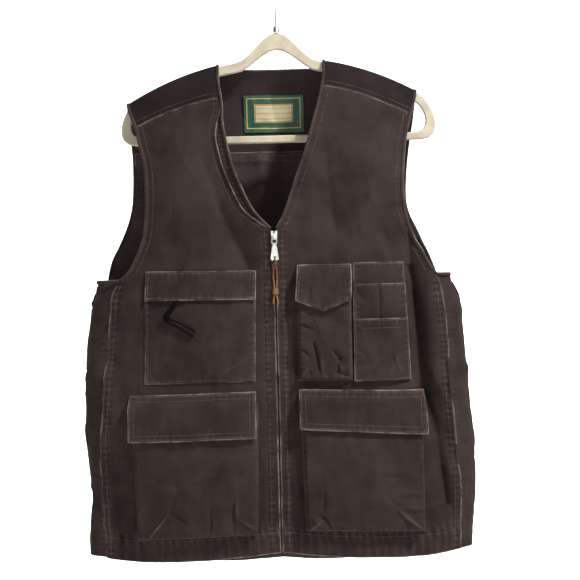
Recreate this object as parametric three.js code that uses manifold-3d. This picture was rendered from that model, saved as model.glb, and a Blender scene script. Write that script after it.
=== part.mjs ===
// A zip-front utility work vest hanging on a flocked coat hanger.
// Millimetres, +Z up, +X to the viewer's right, the vest's front faces -Y.
// The origin is the inside of the hook's crown, where a rail carries the hanger.
import * as THREE from "three";
import { mergeVertices } from "three/addons/utils/BufferGeometryUtils.js";
import Module from "manifold-3d";

const wasm = await Module();
wasm.setup();

// Hanger
const hangerWidth = 443;
const hangerThickness = 6;
const hangerEdgeRound = 1.6;
const seatGap = 1.2; // between the arms' top and the cloth that hangs on them
const crestDrop = 78; // from the hook's crown down to the top of the frame
const crestHalf = 60; // half the width of the raised crest
const crestDepth = 24;
const armTopDrop = 115.4; // where the two arms would meet at the middle
const armFall = 62; // how far the arms drop from the middle to their ends
const armShare = 0.96; // of the hanger's half width, where the arms have dropped that far
const armBend = 2.1;
const armDepth = 14;
const armEndShare = 0.93; // of the arms' reach, where their tops turn down into the hanger's ends
const endShoulder = 0.85; // how far out, as shares of what is left of the half width, the ends' outer
const endSwell = 1.6; // and inner curves are drawn: at their shoulders, and at their feet
const innerShoulder = 0.45;
const innerSwell = 0.7;
const endFall = 6; // how far the outer shoulder's draw lies below the arms' ends
const barDrop = 222; // from the crown to the bar's top
const barHeight = 10.5;
const collarRadius = 5;
const collarHeight = 8;
const hookWire = 3.5;
const hookInnerRadius = 14;
const hookTipAngle = -20; // degrees from level, on the right
const hookStartAngle = 235; // where the hook's round leaves its neck
const hookNeck = 14; // from the hook's round down to its straight shank

// Vest
const vestShift = -9; // the vest hangs a little to one side of the hook
const cloth = 1.2;
const hemCloth = 2.4;
const fitGap = 0.3; // between hard pieces
const seamGap = 0.7; // between pieces that are sewn edge to edge
const layGap = 0.5; // between cloth that lies on cloth
const liningGap = 0.8; // between a panel and what is sewn behind it
const layCrown = 1.2; // how far a flat patch stands up at its middle
const bodyLength = 680; // from the neck's shoulder point to the hem
const bodyWidth = 538;
const frontDepth = 58;
const backDepth = 50;
const sectionPower = 2.4;
const neckHalf = 75;
const neckDepth = 240;
const backNeckDrop = 11;
const frontYoke = 41;
const backYoke = 126;
const hemHeight = 30;
const backHemDip = 28;
const backHemDipShare = 0.8; // of half the body's width, where the back's dip ends
const armholeShare = 0.447; // how far down the body the armhole's foot is
const shoulderFall = { front: 80, back: 45 }; // how soon the cloth leaves the hanger
const edgingDiameter = 2.8;
const facingWidth = 26;
const facingClear = 4; // between the facings' feet and the zip's top
const zipSlit = 5.2;
const zipTapeWidth = 12;
const zipTapeThickness = 0.8;
const chainWidth = 4.4;
const chainThickness = 2.2;
const tapeStand = 2.2; // of the hem's height: under that the tapes stand clear of the hem's double cloth
const labelThickness = 0.8;
const labelWidth = 85;
const labelHeight = 51;
const labelDrop = 42; // below the neck's shoulder point
const labelShift = 2.5;

// Pockets
const pocketCloth = 1;
const flapCloth = 1.8;
const gussetRun = 5;
const cargoStand = 13;
const cargoMouth = 6;
const chestBulge = 6;
const flapPocketStand = 9;
const flapPocketMouth = 5;
const toolBulge = 5;
const flapClearance = 2.6; // between a flap and the pocket's mouth under it
const flapFlare = 0.3; // how much further out a flap's free edge stands than its bend

// Zip pull and cords
const sliderWidth = 8.5;
const sliderLength = 12;
const sliderDepth = 3.4;
const sliderNose = 0.75; // of the slider's width, at its narrow end
const sliderFork = 0.4; // of the slider's width, between its two mouths
const sliderDrop = 6; // how far the slider's middle is below the zip's top, less its length
const linkWire = 1.8;
const linkPlay = 0.4;
const bridgeWire = 1.3;
const bridgeWidth = 2.6;
const bridgeShare = 0.32; // of the slider's length, from its middle to the bridge's feet
const bridgeHaunch = 0.6; // of the bridge's rise, where its arch begins
const linkWidth = 8;
const linkLength = 11;
const tabLength = 20;
const tabTopWidth = 6.5;
const tabFootWidth = 11;
const tabThickness = 1.6;
const tabHoleRadius = 1.9;
const tabShoulder = 1; // under the link, where the tab has its top width
const laceDiameter = 2.4;
const laceFall = 37; // from the lace's knot to the ring that holds its strands
const laceEnds = 13; // of the strands below the ring
const laceRingHeight = 8;
const laceRingWall = 1.2;
const cordDiameter = 3;

const bodyHalf = bodyWidth / 2;
const armReach = (armShare * hangerWidth) / 2;
const ridgeRadius = hangerThickness / 2 + seatGap + cloth;
const edgingReach = seamGap + 2 * fitGap + edgingDiameter / 2;
const tipShare = 0.05; // down the body, where the edge tables give the shoulder's tip

// Half widths of the body, left and right, as shares of half the body's width, and depths as shares of the
// front's and the back's depth
const SECTIONS = [
  { down: 0.0, left: 0.85, right: 0.84, front: 0.72, back: 0.9 },
  { down: 0.19, left: 0.87, right: 0.86, front: 0.82, back: 1.0 },
  { down: 0.338, left: 0.9, right: 0.885, front: 0.92, back: 1.0 },
  { down: 0.447, left: 0.926, right: 0.905, front: 0.98, back: 0.98 },
  { down: 0.49, left: 0.958, right: 0.952, front: 1.0, back: 0.96 },
  { down: 0.54, left: 0.97, right: 0.964, front: 1.0, back: 0.94 },
  { down: 0.634, left: 0.993, right: 0.981, front: 1.0, back: 0.92 },
  { down: 0.706, left: 1.0, right: 0.995, front: 1.0, back: 0.9 },
  { down: 0.794, left: 0.994, right: 1.011, front: 0.98, back: 0.9 },
  { down: 0.89, left: 0.974, right: 1.007, front: 0.95, back: 0.92 },
  { down: 0.94, left: 0.987, right: 0.997, front: 0.93, back: 0.94 },
  { down: 1.0, left: 0.981, right: 0.985, front: 0.9, back: 0.95 },
];

// The front's outer edge: the armhole from the shoulder's tip to its foot, then the side seam
const FRONT_EDGE = [
  { down: 0.0, left: 0.765, right: 0.76 },
  { down: 0.072, left: 0.747, right: 0.743 },
  { down: 0.109, left: 0.722, right: 0.717 },
  { down: 0.135, left: 0.695, right: 0.699 },
  { down: 0.166, left: 0.678, right: 0.68 },
  { down: 0.21, left: 0.651, right: 0.665 },
  { down: 0.268, left: 0.643, right: 0.655 },
  { down: 0.319, left: 0.647, right: 0.665 },
  { down: 0.365, left: 0.662, right: 0.7 },
  { down: 0.401, left: 0.698, right: 0.75 },
  { down: 0.432, left: 0.74, right: 0.79 },
  { down: 0.447, left: 0.79, right: 0.82 },
  { down: 0.475, left: 0.826, right: 0.835 },
  { down: 0.522, left: 0.838, right: 0.848 },
  { down: 0.61, left: 0.864, right: 0.864 },
  { down: 0.706, left: 0.884, right: 0.88 },
  { down: 0.794, left: 0.905, right: 0.898 },
  { down: 0.88, left: 0.906, right: 0.91 },
  { down: 1.0, left: 0.89, right: 0.907 },
];

// The back's outer edge, in the same way
const BACK_EDGE = [
  { down: 0.0, left: 0.765, right: 0.76 },
  { down: 0.072, left: 0.747, right: 0.743 },
  { down: 0.132, left: 0.74, right: 0.725 },
  { down: 0.19, left: 0.732, right: 0.703 },
  { down: 0.279, left: 0.738, right: 0.691 },
  { down: 0.316, left: 0.755, right: 0.706 },
  { down: 0.346, left: 0.782, right: 0.738 },
  { down: 0.375, left: 0.815, right: 0.77 },
  { down: 0.404, left: 0.848, right: 0.804 },
  { down: 0.447, left: 0.872, right: 0.84 },
  { down: 0.522, left: 0.88, right: 0.86 },
  { down: 0.706, left: 0.905, right: 0.9 },
  { down: 1.0, left: 0.91, right: 0.92 },
];

// The neck's edge: down as a share of the neck's depth, left and right as shares of half the neck's width
const NECK_EDGE = [
  { down: 0.0, left: 1.0, right: 1.0 },
  { down: 0.12, left: 0.99, right: 0.98 },
  { down: 0.25, left: 0.93, right: 0.89 },
  { down: 0.37, left: 0.92, right: 0.78 },
  { down: 0.5, left: 0.85, right: 0.66 },
  { down: 0.62, left: 0.76, right: 0.53 },
  { down: 0.75, left: 0.6, right: 0.38 },
  { down: 0.87, left: 0.41, right: 0.25 },
  { down: 0.95, left: 0.2, right: 0.13 },
  { down: 1.0, left: 0.035, right: 0.035 },
];

// The front yoke seam's drop below the shoulder line, as a share of the front yoke
const YOKE_SEAM = [
  { across: 0.28, left: 1.19, right: 0.91 },
  { across: 0.75, left: 1.0, right: 0.97 },
];

// How far the front hem's line rises over the body's foot, as a share of the hem's height
const HEM_LINE = [
  { across: 0.0, rise: 0.16 },
  { across: 0.2, rise: -0.04 },
  { across: 0.5, rise: -0.2 },
  { across: 0.75, rise: -0.2 },
  { across: 1.0, rise: 0.02 },
];

// Folds of the front and back: two ends (across, down), the half width as a share of half the body's width,
// and how far the fold stands out (+) or dips in (-) as a share of the front's depth
const FRONT_FOLDS = [
  { across: 0.68, down: 0.385, toAcross: 0.72, toDown: 0.69, width: 0.07, rise: -0.17 },
  { across: 0.79, down: 0.46, toAcross: 0.8, toDown: 0.66, width: 0.06, rise: 0.08 },
  { across: 0.77, down: 0.69, toAcross: 0.84, toDown: 0.79, width: 0.06, rise: -0.14 },
  { across: 0.79, down: 0.82, toAcross: 0.84, toDown: 0.91, width: 0.05, rise: -0.09 },
  { across: 0.285, down: 0.2, toAcross: 0.285, toDown: 0.33, width: 0.07, rise: -0.06 },
  { across: 0.49, down: 0.22, toAcross: 0.41, toDown: 0.34, width: 0.06, rise: 0.05 },
  { across: -0.33, down: 0.17, toAcross: -0.15, toDown: 0.4, width: 0.09, rise: -0.13 },
  { across: -0.24, down: 0.3, toAcross: -0.08, toDown: 0.4, width: 0.06, rise: 0.06 },
  { across: -0.6, down: 0.19, toAcross: -0.61, toDown: 0.3, width: 0.07, rise: -0.05 },
  { across: -0.54, down: 0.33, toAcross: -0.52, toDown: 0.37, width: 0.05, rise: -0.06 },
  { across: -0.82, down: 0.85, toAcross: -0.82, toDown: 0.95, width: 0.05, rise: -0.08 },
];
const BACK_FOLDS = [
  { across: -0.05, down: 0.26, toAcross: -0.1, toDown: 0.9, width: 0.1, rise: -0.1 },
  { across: 0.12, down: 0.28, toAcross: 0.16, toDown: 0.8, width: 0.1, rise: 0.08 },
  { across: 0.4, down: 0.3, toAcross: 0.5, toDown: 0.95, width: 0.12, rise: -0.14 },
  { across: -0.42, down: 0.32, toAcross: -0.5, toDown: 0.95, width: 0.12, rise: -0.12 },
  { across: 0.68, down: 0.4, toAcross: 0.7, toDown: 0.85, width: 0.08, rise: 0.08 },
  { across: -0.7, down: 0.42, toAcross: -0.72, toDown: 0.9, width: 0.08, rise: 0.08 },
];

// Materials
const canvas = new THREE.MeshStandardMaterial({ color: 0x3a302d, roughness: 0.92, metalness: 0 });
const yokeCanvas = new THREE.MeshStandardMaterial({ color: 0x352b2a, roughness: 0.92, metalness: 0 });
const edgingCanvas = new THREE.MeshStandardMaterial({ color: 0x5c524e, roughness: 0.9, metalness: 0 });
const zipTape = new THREE.MeshStandardMaterial({ color: 0x2a2422, roughness: 0.85, metalness: 0 });
const nickel = new THREE.MeshStandardMaterial({ color: 0xb9b7b0, roughness: 0.32, metalness: 1 });
const agedBrass = new THREE.MeshStandardMaterial({ color: 0x5b5148, roughness: 0.45, metalness: 0.9 });
const leather = new THREE.MeshStandardMaterial({ color: 0x8a4a22, roughness: 0.7, metalness: 0 });
const blackCord = new THREE.MeshStandardMaterial({ color: 0x0c0b0c, roughness: 0.8, metalness: 0 });
const labelGreen = new THREE.MeshStandardMaterial({ color: 0x0d4a35, roughness: 0.75, metalness: 0 });
const flocking = new THREE.MeshStandardMaterial({ color: 0xc9c1a8, roughness: 1, metalness: 0 });

const lerp = THREE.MathUtils.lerp;
const spread = (count) => Array.from({ length: count + 1 }, (_, i) => i / count);

// A smooth curve through one column of a table
function tableCurve(rows, at, value) {
  const slopes = rows.map((row, i) => {
    const before = rows[Math.max(i - 1, 0)];
    const after = rows[Math.min(i + 1, rows.length - 1)];
    return (after[value] - before[value]) / (after[at] - before[at]);
  });
  const last = rows[rows.length - 1];
  return (place) => {
    if (place <= rows[0][at]) return rows[0][value];
    if (place >= last[at]) return last[value];
    const next = rows.findIndex((row) => row[at] >= place);
    const a = rows[next - 1];
    const b = rows[next];
    const run = b[at] - a[at];
    const t = (place - a[at]) / run;
    const bend = (1 - t) * slopes[next - 1] * run * t * (1 - t) - t * slopes[next] * run * t * (1 - t);
    const ease = t * t * (3 - 2 * t);
    return a[value] + (b[value] - a[value]) * ease + bend;
  };
}

// The two columns of a table as one function of a side's sign and a place
function sidedCurve(rows, at) {
  const left = tableCurve(rows, at, "left");
  const right = tableCurve(rows, at, "right");
  return (sign, place) => (sign < 0 ? left(place) : right(place));
}

const sectionHalf = sidedCurve(SECTIONS, "down");
const sectionDepth = {
  front: tableCurve(SECTIONS, "down", "front"),
  back: tableCurve(SECTIONS, "down", "back"),
};
const frontEdge = sidedCurve(FRONT_EDGE, "down");
const backEdge = sidedCurve(BACK_EDGE, "down");
const neckEdge = sidedCurve(NECK_EDGE, "down");
const yokeSeam = sidedCurve(YOKE_SEAM, "across");
const hemRise = tableCurve(HEM_LINE, "across", "rise");

// Heights. The hanger's arms carry the cloth, so the shoulder line follows them.
const armZ = (x) => -armTopDrop - armFall * (Math.abs(x) / armReach) ** armBend;
const shoulderZ = (x) => armZ(x + vestShift) + seatGap + cloth;
const neckTop = shoulderZ(neckHalf);
const hemZ = neckTop - bodyLength;
const downOf = (z) => (neckTop - z) / bodyLength;
const heightOf = (down) => neckTop - down * bodyLength;
const armholeFoot = heightOf(armholeShare);
const zipTop = neckTop - neckDepth;
const backSeamZ = neckTop - backYoke;
const frontSeamZ = (x) => shoulderZ(x) - frontYoke * yokeSeam(x, Math.abs(x) / bodyHalf);
const frontHemZ = (x) => hemZ + hemHeight * hemRise(Math.abs(x) / bodyHalf);
const backHemZ = (x) => frontHemZ(x) - backHemDip * Math.max(0, 1 - (x / (backHemDipShare * bodyHalf)) ** 2);

// Places across the body
const halfWidthAt = (sign, z) => bodyHalf * sectionHalf(sign, downOf(z));
const frontEdgeX = (sign, z) => sign * bodyHalf * frontEdge(sign, downOf(z));
const backEdgeX = (sign, z) => sign * bodyHalf * backEdge(sign, downOf(z));
const neckEdgeX = (sign, z) =>
  sign * Math.max(zipSlit / 2, neckHalf * neckEdge(sign, (neckTop - z) / neckDepth));

function foldRise(folds, x, z) {
  const p = new THREE.Vector2(x / bodyHalf, downOf(z) * (bodyLength / bodyHalf));
  const scale = bodyLength / bodyHalf;
  return folds.reduce((sum, fold) => {
    const a = new THREE.Vector2(fold.across, fold.down * scale);
    const b = new THREE.Vector2(fold.toAcross, fold.toDown * scale);
    const along = b.clone().sub(a);
    const t = THREE.MathUtils.clamp(p.clone().sub(a).dot(along) / along.lengthSq(), 0, 1);
    const off = p.distanceTo(a.addScaledVector(along, t)) / fold.width;
    return sum + fold.rise * frontDepth * Math.exp(-off * off);
  }, 0);
}

// The cloth's outer face. Near the shoulder line it rounds over the hanger's arm, and lower down it eases out
// to the body's own section.
function easedDepth(x, z, side, full) {
  const drop = Math.max(0, shoulderZ(x) - z);
  const over = ridgeRadius * Math.sqrt(1 - (1 - Math.min(drop / ridgeRadius, 1)) ** 2);
  const fall = 1 - Math.exp(-Math.max(0, drop - ridgeRadius) / shoulderFall[side]);
  const folds = foldRise(side === "front" ? FRONT_FOLDS : BACK_FOLDS, x, z);
  const stand = Math.max(0, full - ridgeRadius) + folds * Math.min(1, full / ridgeRadius);
  const depth = over + stand * fall;
  return side === "front" ? -depth : depth;
}

function facePoint(x, z, side) {
  const share = Math.min(1, Math.abs(x) / halfWidthAt(Math.sign(x), z));
  const most = side === "front" ? frontDepth : backDepth;
  const full = most * sectionDepth[side](downOf(z)) * (1 - share ** sectionPower) ** (1 / sectionPower);
  return new THREE.Vector3(x, easedDepth(x, z, side, full), z);
}

// A place on the side, from the front seam (turn 0) round to the back seam (turn 1)
function sidePoint(sign, turn, z) {
  const half = halfWidthAt(sign, z);
  const angleOf = (x) => Math.asin(Math.min(1, Math.abs(x) / half) ** (sectionPower / 2));
  const start = angleOf(frontEdgeX(sign, Math.min(z, armholeFoot)));
  const end = Math.PI - angleOf(backEdgeX(sign, Math.min(z, armholeFoot)));
  const angle = lerp(start, end, turn);
  const x = sign * half * Math.abs(Math.sin(angle)) ** (2 / sectionPower);
  return facePoint(x, z, angle < Math.PI / 2 ? "front" : "back");
}

// A place whose x depends on its height and whose height depends on its x
function settled(x, xAt, zAt, side) {
  let place = x;
  for (let pass = 0; pass < 4; pass++) place = xAt(zAt(place));
  return facePoint(place, zAt(place), side);
}

// A closed wall of cloth. Its rows hold the outer face's points, null where there is no cloth, and the wall's
// thickness goes inwards, towards the body's middle line.
function sheet(rows, thickness) {
  const thicknessAt = typeof thickness === "function" ? thickness : () => thickness;
  const points = [];
  const walls = [];
  const index = rows.map((row, i) =>
    row.map((p, j) => {
      if (!p) return -1;
      walls.push(thicknessAt(i, j));
      return points.push(p) - 1;
    }),
  );
  const faces = [];
  for (let i = 0; i + 1 < rows.length; i++) {
    for (let j = 0; j + 1 < rows[i].length; j++) {
      const [a, b, c, d] = [index[i][j], index[i][j + 1], index[i + 1][j + 1], index[i + 1][j]];
      if (Math.min(a, b, c, d) < 0) continue;
      const short = points[a].distanceTo(points[c]) <= points[b].distanceTo(points[d]);
      faces.push(...(short ? [[a, b, c], [a, c, d]] : [[a, b, d], [b, c, d]]));
    }
  }
  const normals = points.map(() => new THREE.Vector3());
  let outward = 0;
  const area = new THREE.Vector3();
  for (const [a, b, c] of faces) {
    area.crossVectors(points[b].clone().sub(points[a]), points[c].clone().sub(points[a]));
    outward += area.x * points[a].x + area.y * points[a].y;
    for (const corner of [a, b, c]) normals[corner].add(area);
  }
  if (outward < 0) {
    faces.forEach((face) => face.reverse());
    normals.forEach((normal) => normal.negate());
  }
  const inner = points.map((p, i) => p.clone().addScaledVector(normals[i].normalize(), -walls[i]));
  const count = points.length;
  const borders = new Map();
  for (const face of faces) {
    face.forEach((from, k) => {
      const to = face[(k + 1) % 3];
      if (!borders.delete(to + "," + from)) borders.set(from + "," + to, [from, to]);
    });
  }
  const triangles = faces.flatMap(([a, b, c]) => [a, b, c, a + count, c + count, b + count]);
  for (const [from, to] of borders.values()) {
    triangles.push(from, from + count, to + count, from, to + count, to);
  }
  const geometry = new THREE.BufferGeometry().setFromPoints([...points, ...inner]);
  geometry.setIndex(triangles);
  return geometry;
}

// Finds the place on a grid's own facets that lies over a point of the vertical plane
function facetFinder(rows) {
  const triangles = [];
  for (let i = 0; i + 1 < rows.length; i++) {
    for (let j = 0; j + 1 < rows[i].length; j++) {
      const [a, b, c, d] = [rows[i][j], rows[i][j + 1], rows[i + 1][j + 1], rows[i + 1][j]];
      const short = a.distanceTo(c) <= b.distanceTo(d);
      for (const corners of short ? [[a, b, c], [a, c, d]] : [[a, b, d], [b, c, d]]) {
        triangles.push(new THREE.Triangle(...corners.map((p) => new THREE.Vector3(p.x, p.z, 0))));
        triangles[triangles.length - 1].depths = corners.map((p) => p.y);
      }
    }
  }
  const weights = new THREE.Vector3();
  const slack = 1e-6;
  return (x, z) => {
    for (const triangle of triangles) {
      if (!triangle.getBarycoord(new THREE.Vector3(x, z, 0), weights)) continue;
      if (Math.min(weights.x, weights.y, weights.z) < -slack) continue;
      return weights.dot(new THREE.Vector3(...triangle.depths));
    }
    return null;
  };
}

// Lays a grid of cloth on a face: place(u, v) gives x and z, lift(u, v) how far the cloth's outer face stands
// off it
function overlay(depthAt, us, vs, place, lift) {
  const probe = 6;
  return vs.map((v) =>
    us.map((u) => {
      const [x, z] = place(u, v);
      const y = depthAt(x, z);
      const slopeX = ((depthAt(x + probe, z) ?? y) - (depthAt(x - probe, z) ?? y)) / (2 * probe);
      const slopeZ = ((depthAt(x, z + probe) ?? y) - (depthAt(x, z - probe) ?? y)) / (2 * probe);
      const normal = new THREE.Vector3(slopeX, -1, slopeZ).normalize();
      return new THREE.Vector3(x, y, z).addScaledVector(normal, lift(u, v));
    }),
  );
}

const object = new THREE.Group();
const vest = new THREE.Group();
vest.position.x = vestShift;
object.add(vest);

function addPiece(name, geometry, material, group = vest) {
  const mesh = new THREE.Mesh(geometry, material);
  mesh.name = name;
  group.add(mesh);
  return mesh;
}

// Joins closed geometries into one solid
function joined(...geometries) {
  const solids = geometries.map((geometry) => {
    const bare = geometry.clone();
    bare.deleteAttribute("normal");
    bare.deleteAttribute("uv");
    const merged = mergeVertices(bare, 1e-3);
    return new wasm.Manifold(
      new wasm.Mesh({
        numProp: 3,
        vertProperties: merged.attributes.position.array,
        triVerts: new Uint32Array(merged.index.array),
      }),
    );
  });
  const mesh = solids.reduce((sum, solid) => sum.add(solid)).getMesh();
  const geometry = new THREE.BufferGeometry();
  geometry.setAttribute("position", new THREE.BufferAttribute(mesh.vertProperties, 3));
  geometry.setIndex(new THREE.BufferAttribute(mesh.triVerts, 1));
  return geometry;
}

// A round tube along points
function tube(points, diameter, sides, steps) {
  const round = new THREE.Shape();
  for (let i = 0; i < sides; i++) {
    const angle = (i / sides) * 2 * Math.PI;
    const [x, y] = [(diameter / 2) * Math.cos(angle), (diameter / 2) * Math.sin(angle)];
    if (i) round.lineTo(x, y);
    else round.moveTo(x, y);
  }
  const path = new THREE.CatmullRomCurve3(points, false, "centripetal");
  return new THREE.ExtrudeGeometry(round, { steps, extrudePath: path });
}

// Sign names from the wearer's side
const wearer = (sign) => (sign < 0 ? "right" : "left");

// Front panels
const frontFinders = {};
for (const sign of [-1, 1]) {
  const levels = [
    ...spread(12).map((t) => (x) => lerp(frontSeamZ(x) - seamGap, armholeFoot, t)),
    ...spread(9).slice(1).map((t) => (x) => lerp(armholeFoot, frontHemZ(x) + hemHeight, t)),
    (x) => frontHemZ(x),
  ];
  const rows = levels.map((level) =>
    spread(12).map((u) => {
      const xAt = (z) => lerp(neckEdgeX(sign, z), frontEdgeX(sign, z) - sign * seamGap, u);
      return settled(sign * bodyHalf * u, xAt, level, "front");
    }),
  );
  frontFinders[sign] = facetFinder(rows);
  const wall = (i) => (i > rows.length - 3 ? hemCloth : cloth);
  addPiece("front_panel_" + wearer(sign), sheet(rows, wall), canvas);
}

// Side panels, from the front seam round to the back seam
for (const sign of [-1, 1]) {
  const top = armholeFoot;
  const hemShare = hemHeight / (top - hemZ);
  const inset = seamGap / (bodyHalf - Math.abs(frontEdgeX(sign, top)) + frontDepth);
  const rows = [...spread(11).map((t) => t * (1 - hemShare)), 1].map((down) =>
    spread(4).map((across) => {
      const turn = lerp(inset, 1 - inset, across);
      const foot = frontHemZ(sidePoint(sign, turn, top).x);
      return sidePoint(sign, turn, lerp(top, foot, down));
    }),
  );
  const wall = (i) => (i > rows.length - 3 ? hemCloth : cloth);
  addPiece("side_panel_" + wearer(sign), sheet(rows, wall), canvas);
}

// Back panel
{
  const levels = [
    ...spread(8).map((t) => () => lerp(backSeamZ - seamGap, armholeFoot, t)),
    ...spread(8).slice(1).map((t) => (x) => lerp(armholeFoot, backHemZ(x) + hemHeight, t)),
    (x) => backHemZ(x),
  ];
  const rows = levels.map((level) =>
    spread(16).map((u) => {
      const xAt = (z) => lerp(backEdgeX(-1, z) + seamGap, backEdgeX(1, z) - seamGap, u);
      return settled(lerp(-bodyHalf, bodyHalf, u), xAt, level, "back");
    }),
  );
  const wall = (i) => (i > rows.length - 3 ? hemCloth : cloth);
  addPiece("back_panel", sheet(rows, wall), canvas);
}

// Yoke: the upper back, the shoulders and the strips that come over them to the front seams
const yokeBackRows = [];
{
  const neckColumns = 8;
  const shoulderColumns = 5;
  const neckColumn = (t) => ({ sign: Math.sign(t - 0.5), out: Math.abs(2 * t - 1), neck: true });
  const columns = [
    ...spread(shoulderColumns).map((t) => ({ sign: -1, out: 1 - t, neck: false })),
    ...spread(neckColumns).slice(1, -1).map(neckColumn),
    ...spread(shoulderColumns).map((t) => ({ sign: 1, out: t, neck: false })),
  ];
  const neckRowZ = neckTop - backNeckDrop;
  const placeX = (column, inner, outer) =>
    column.neck ? column.sign * column.out * inner : lerp(column.sign * inner, outer, column.out);
  const backRows = spread(4).map((t) =>
    columns.map((column) => {
      const xAt = (z) => placeX(column, neckHalf, backEdgeX(column.sign, z));
      const zAt = (x) => lerp(backSeamZ, column.neck ? neckRowZ : shoulderZ(x) - backNeckDrop, t);
      return settled(column.sign * neckHalf, xAt, zAt, "back");
    }),
  );
  yokeBackRows.push(...backRows);
  const shoulderRow = (side, zAt) =>
    columns.map((column) => {
      if (column.neck) return null;
      const tipZ = shoulderZ(column.sign * bodyHalf * frontEdge(column.sign, tipShare));
      const edgeX = side === "back" ? backEdgeX : frontEdgeX;
      const innerX = (z) => (tipZ - z < 2 * ridgeRadius ? neckHalf : Math.abs(neckEdgeX(column.sign, z)));
      const xAt = (z) => placeX(column, innerX(z), edgeX(column.sign, z));
      return settled(column.sign * neckHalf, xAt, zAt, side);
    });
  const ridgeTurns = [90, 45, 0, -45, -90];
  const ridgeRows = ridgeTurns.map((turn) => {
    const drop = ridgeRadius * (1 - Math.cos(THREE.MathUtils.degToRad(turn)));
    return shoulderRow(turn > 0 ? "back" : "front", (x) => shoulderZ(x) - drop);
  });
  const frontRows = [0.5, 1].map((t) =>
    shoulderRow("front", (x) => lerp(shoulderZ(x) - ridgeRadius, frontSeamZ(x) + fitGap, t)),
  );
  addPiece("yoke", sheet([...backRows, ...ridgeRows, ...frontRows], cloth), yokeCanvas);
}

// Turned edges. Each path point has the cloth's edge and a place just inside it, and the edging runs beside it.
function edgingPath(pairs) {
  return pairs.map(([edge, inside], i) => {
    const before = pairs[Math.max(i - 1, 0)][0];
    const after = pairs[Math.min(i + 1, pairs.length - 1)][0];
    const along = after.clone().sub(before).normalize();
    const out = edge.clone().sub(inside);
    out.addScaledVector(along, -out.dot(along)).normalize();
    return edge.clone().addScaledVector(out, edgingReach);
  });
}

const nudge = 4; // how far inside an edge the cloth's own direction is read
const ridgeLift = edgingDiameter / 2.4;
for (const sign of [-1, 1]) {
  const edgeAt = (edgeX, side, zAt) => {
    const edge = settled(sign * bodyHalf * frontEdge(sign, tipShare), (z) => edgeX(sign, z), zAt, side);
    return [edge, facePoint(edge.x - sign * nudge, zAt(edge.x - sign * nudge), side)];
  };
  const ridge = [60, 0, -60].map((turn) => {
    const drop = ridgeRadius * (1 - Math.cos(THREE.MathUtils.degToRad(turn)));
    return turn > 0
      ? edgeAt(backEdgeX, "back", (x) => shoulderZ(x) - drop)
      : edgeAt(frontEdgeX, "front", (x) => shoulderZ(x) - drop);
  });
  for (const pair of ridge) pair.forEach((place) => place.setZ(place.z + ridgeLift));
  const edgeRun = (edgeX, side) =>
    spread(15).slice(0, -1).map((t) =>
      edgeAt(edgeX, side, (x) => lerp(shoulderZ(x) - 2 * ridgeRadius, armholeFoot, t)),
    );
  const under = [0, 0.25, 0.5, 0.75, 1].map((turn) => [
    sidePoint(sign, turn, armholeFoot),
    sidePoint(sign, turn, armholeFoot - nudge),
  ]);
  const loop = edgingPath([
    ...ridge,
    ...edgeRun(frontEdgeX, "front"),
    ...under,
    ...edgeRun(backEdgeX, "back").reverse(),
  ]);
  const path = new THREE.CatmullRomCurve3(loop, true, "centripetal");
  const edging = new THREE.TubeGeometry(path, 60, edgingDiameter / 2, 5, true);
  addPiece("armhole_binding_" + wearer(sign), edging, edgingCanvas);
}
{
  const vRun = (sign) =>
    spread(14).map((t) => {
      const z = lerp(zipTop + edgingDiameter, neckTop - 2 * ridgeRadius, t);
      const x = neckEdgeX(sign, z);
      return [facePoint(x, z, "front"), facePoint(x + sign * nudge, z, "front")];
    });
  const ridge = (sign) =>
    [-60, 0, 60].map((turn) => {
      const drop = ridgeRadius * (1 - Math.cos(THREE.MathUtils.degToRad(turn)));
      const side = turn > 0 ? "back" : "front";
      const at = (x) => facePoint(x, shoulderZ(x) - drop, side).setZ(shoulderZ(x) - drop + ridgeLift);
      return [at(sign * neckHalf), at(sign * (neckHalf + nudge))];
    });
  const neckRowZ = neckTop - backNeckDrop;
  const back = spread(8).slice(1, -1).map((t) => {
    const x = lerp(-neckHalf, neckHalf, t);
    return [facePoint(x, neckRowZ, "back"), facePoint(x, neckRowZ - nudge, "back")];
  });
  const path = edgingPath([...vRun(-1), ...ridge(-1), ...back, ...ridge(1).reverse(), ...vRun(1).reverse()]);
  addPiece("neck_binding", tube(path, edgingDiameter, 5, 64), edgingCanvas);
}

// Facings behind the neck's two front edges
for (const sign of [-1, 1]) {
  const rows = spread(9).map((t) => {
    const z = lerp(frontSeamZ(sign * neckHalf) - 2 * seamGap, zipTop + facingClear, t);
    const edge = neckEdgeX(sign, z);
    return [0, 0.5, 1].map((u) => {
      const face = facePoint(edge + sign * u * facingWidth, z, "front");
      return face.add(new THREE.Vector3(0, cloth + liningGap, 0));
    });
  });
  addPiece("neck_facing_" + wearer(sign), sheet(rows, cloth), canvas);
}

// Zip: a tape behind each front edge, and the chain in the slit
const zipLevels = spread(12).map((t) => lerp(zipTop - layGap, frontHemZ(0) + layGap, t));
const hemTurnZ = frontHemZ(0) + tapeStand * hemHeight;
const wallAt = (z) => (z < hemTurnZ ? hemCloth : cloth);
for (const sign of [-1, 1]) {
  const rows = zipLevels.map((z) =>
    [0, 1].map((u) => {
      const face = facePoint(sign * (chainWidth / 2 + seamGap + u * zipTapeWidth), z, "front");
      return face.add(new THREE.Vector3(0, wallAt(z) + liningGap, 0));
    }),
  );
  addPiece("zip_tape_" + wearer(sign), sheet(rows, zipTapeThickness), zipTape);
}
{
  const rows = zipLevels.map((z) =>
    [-1, 1].map((side) => {
      const face = facePoint((side * chainWidth) / 2, z, "front");
      return face.add(new THREE.Vector3(0, cloth / 2, 0));
    }),
  );
  addPiece("zip_chain", sheet(rows, chainThickness), agedBrass);
}

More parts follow.
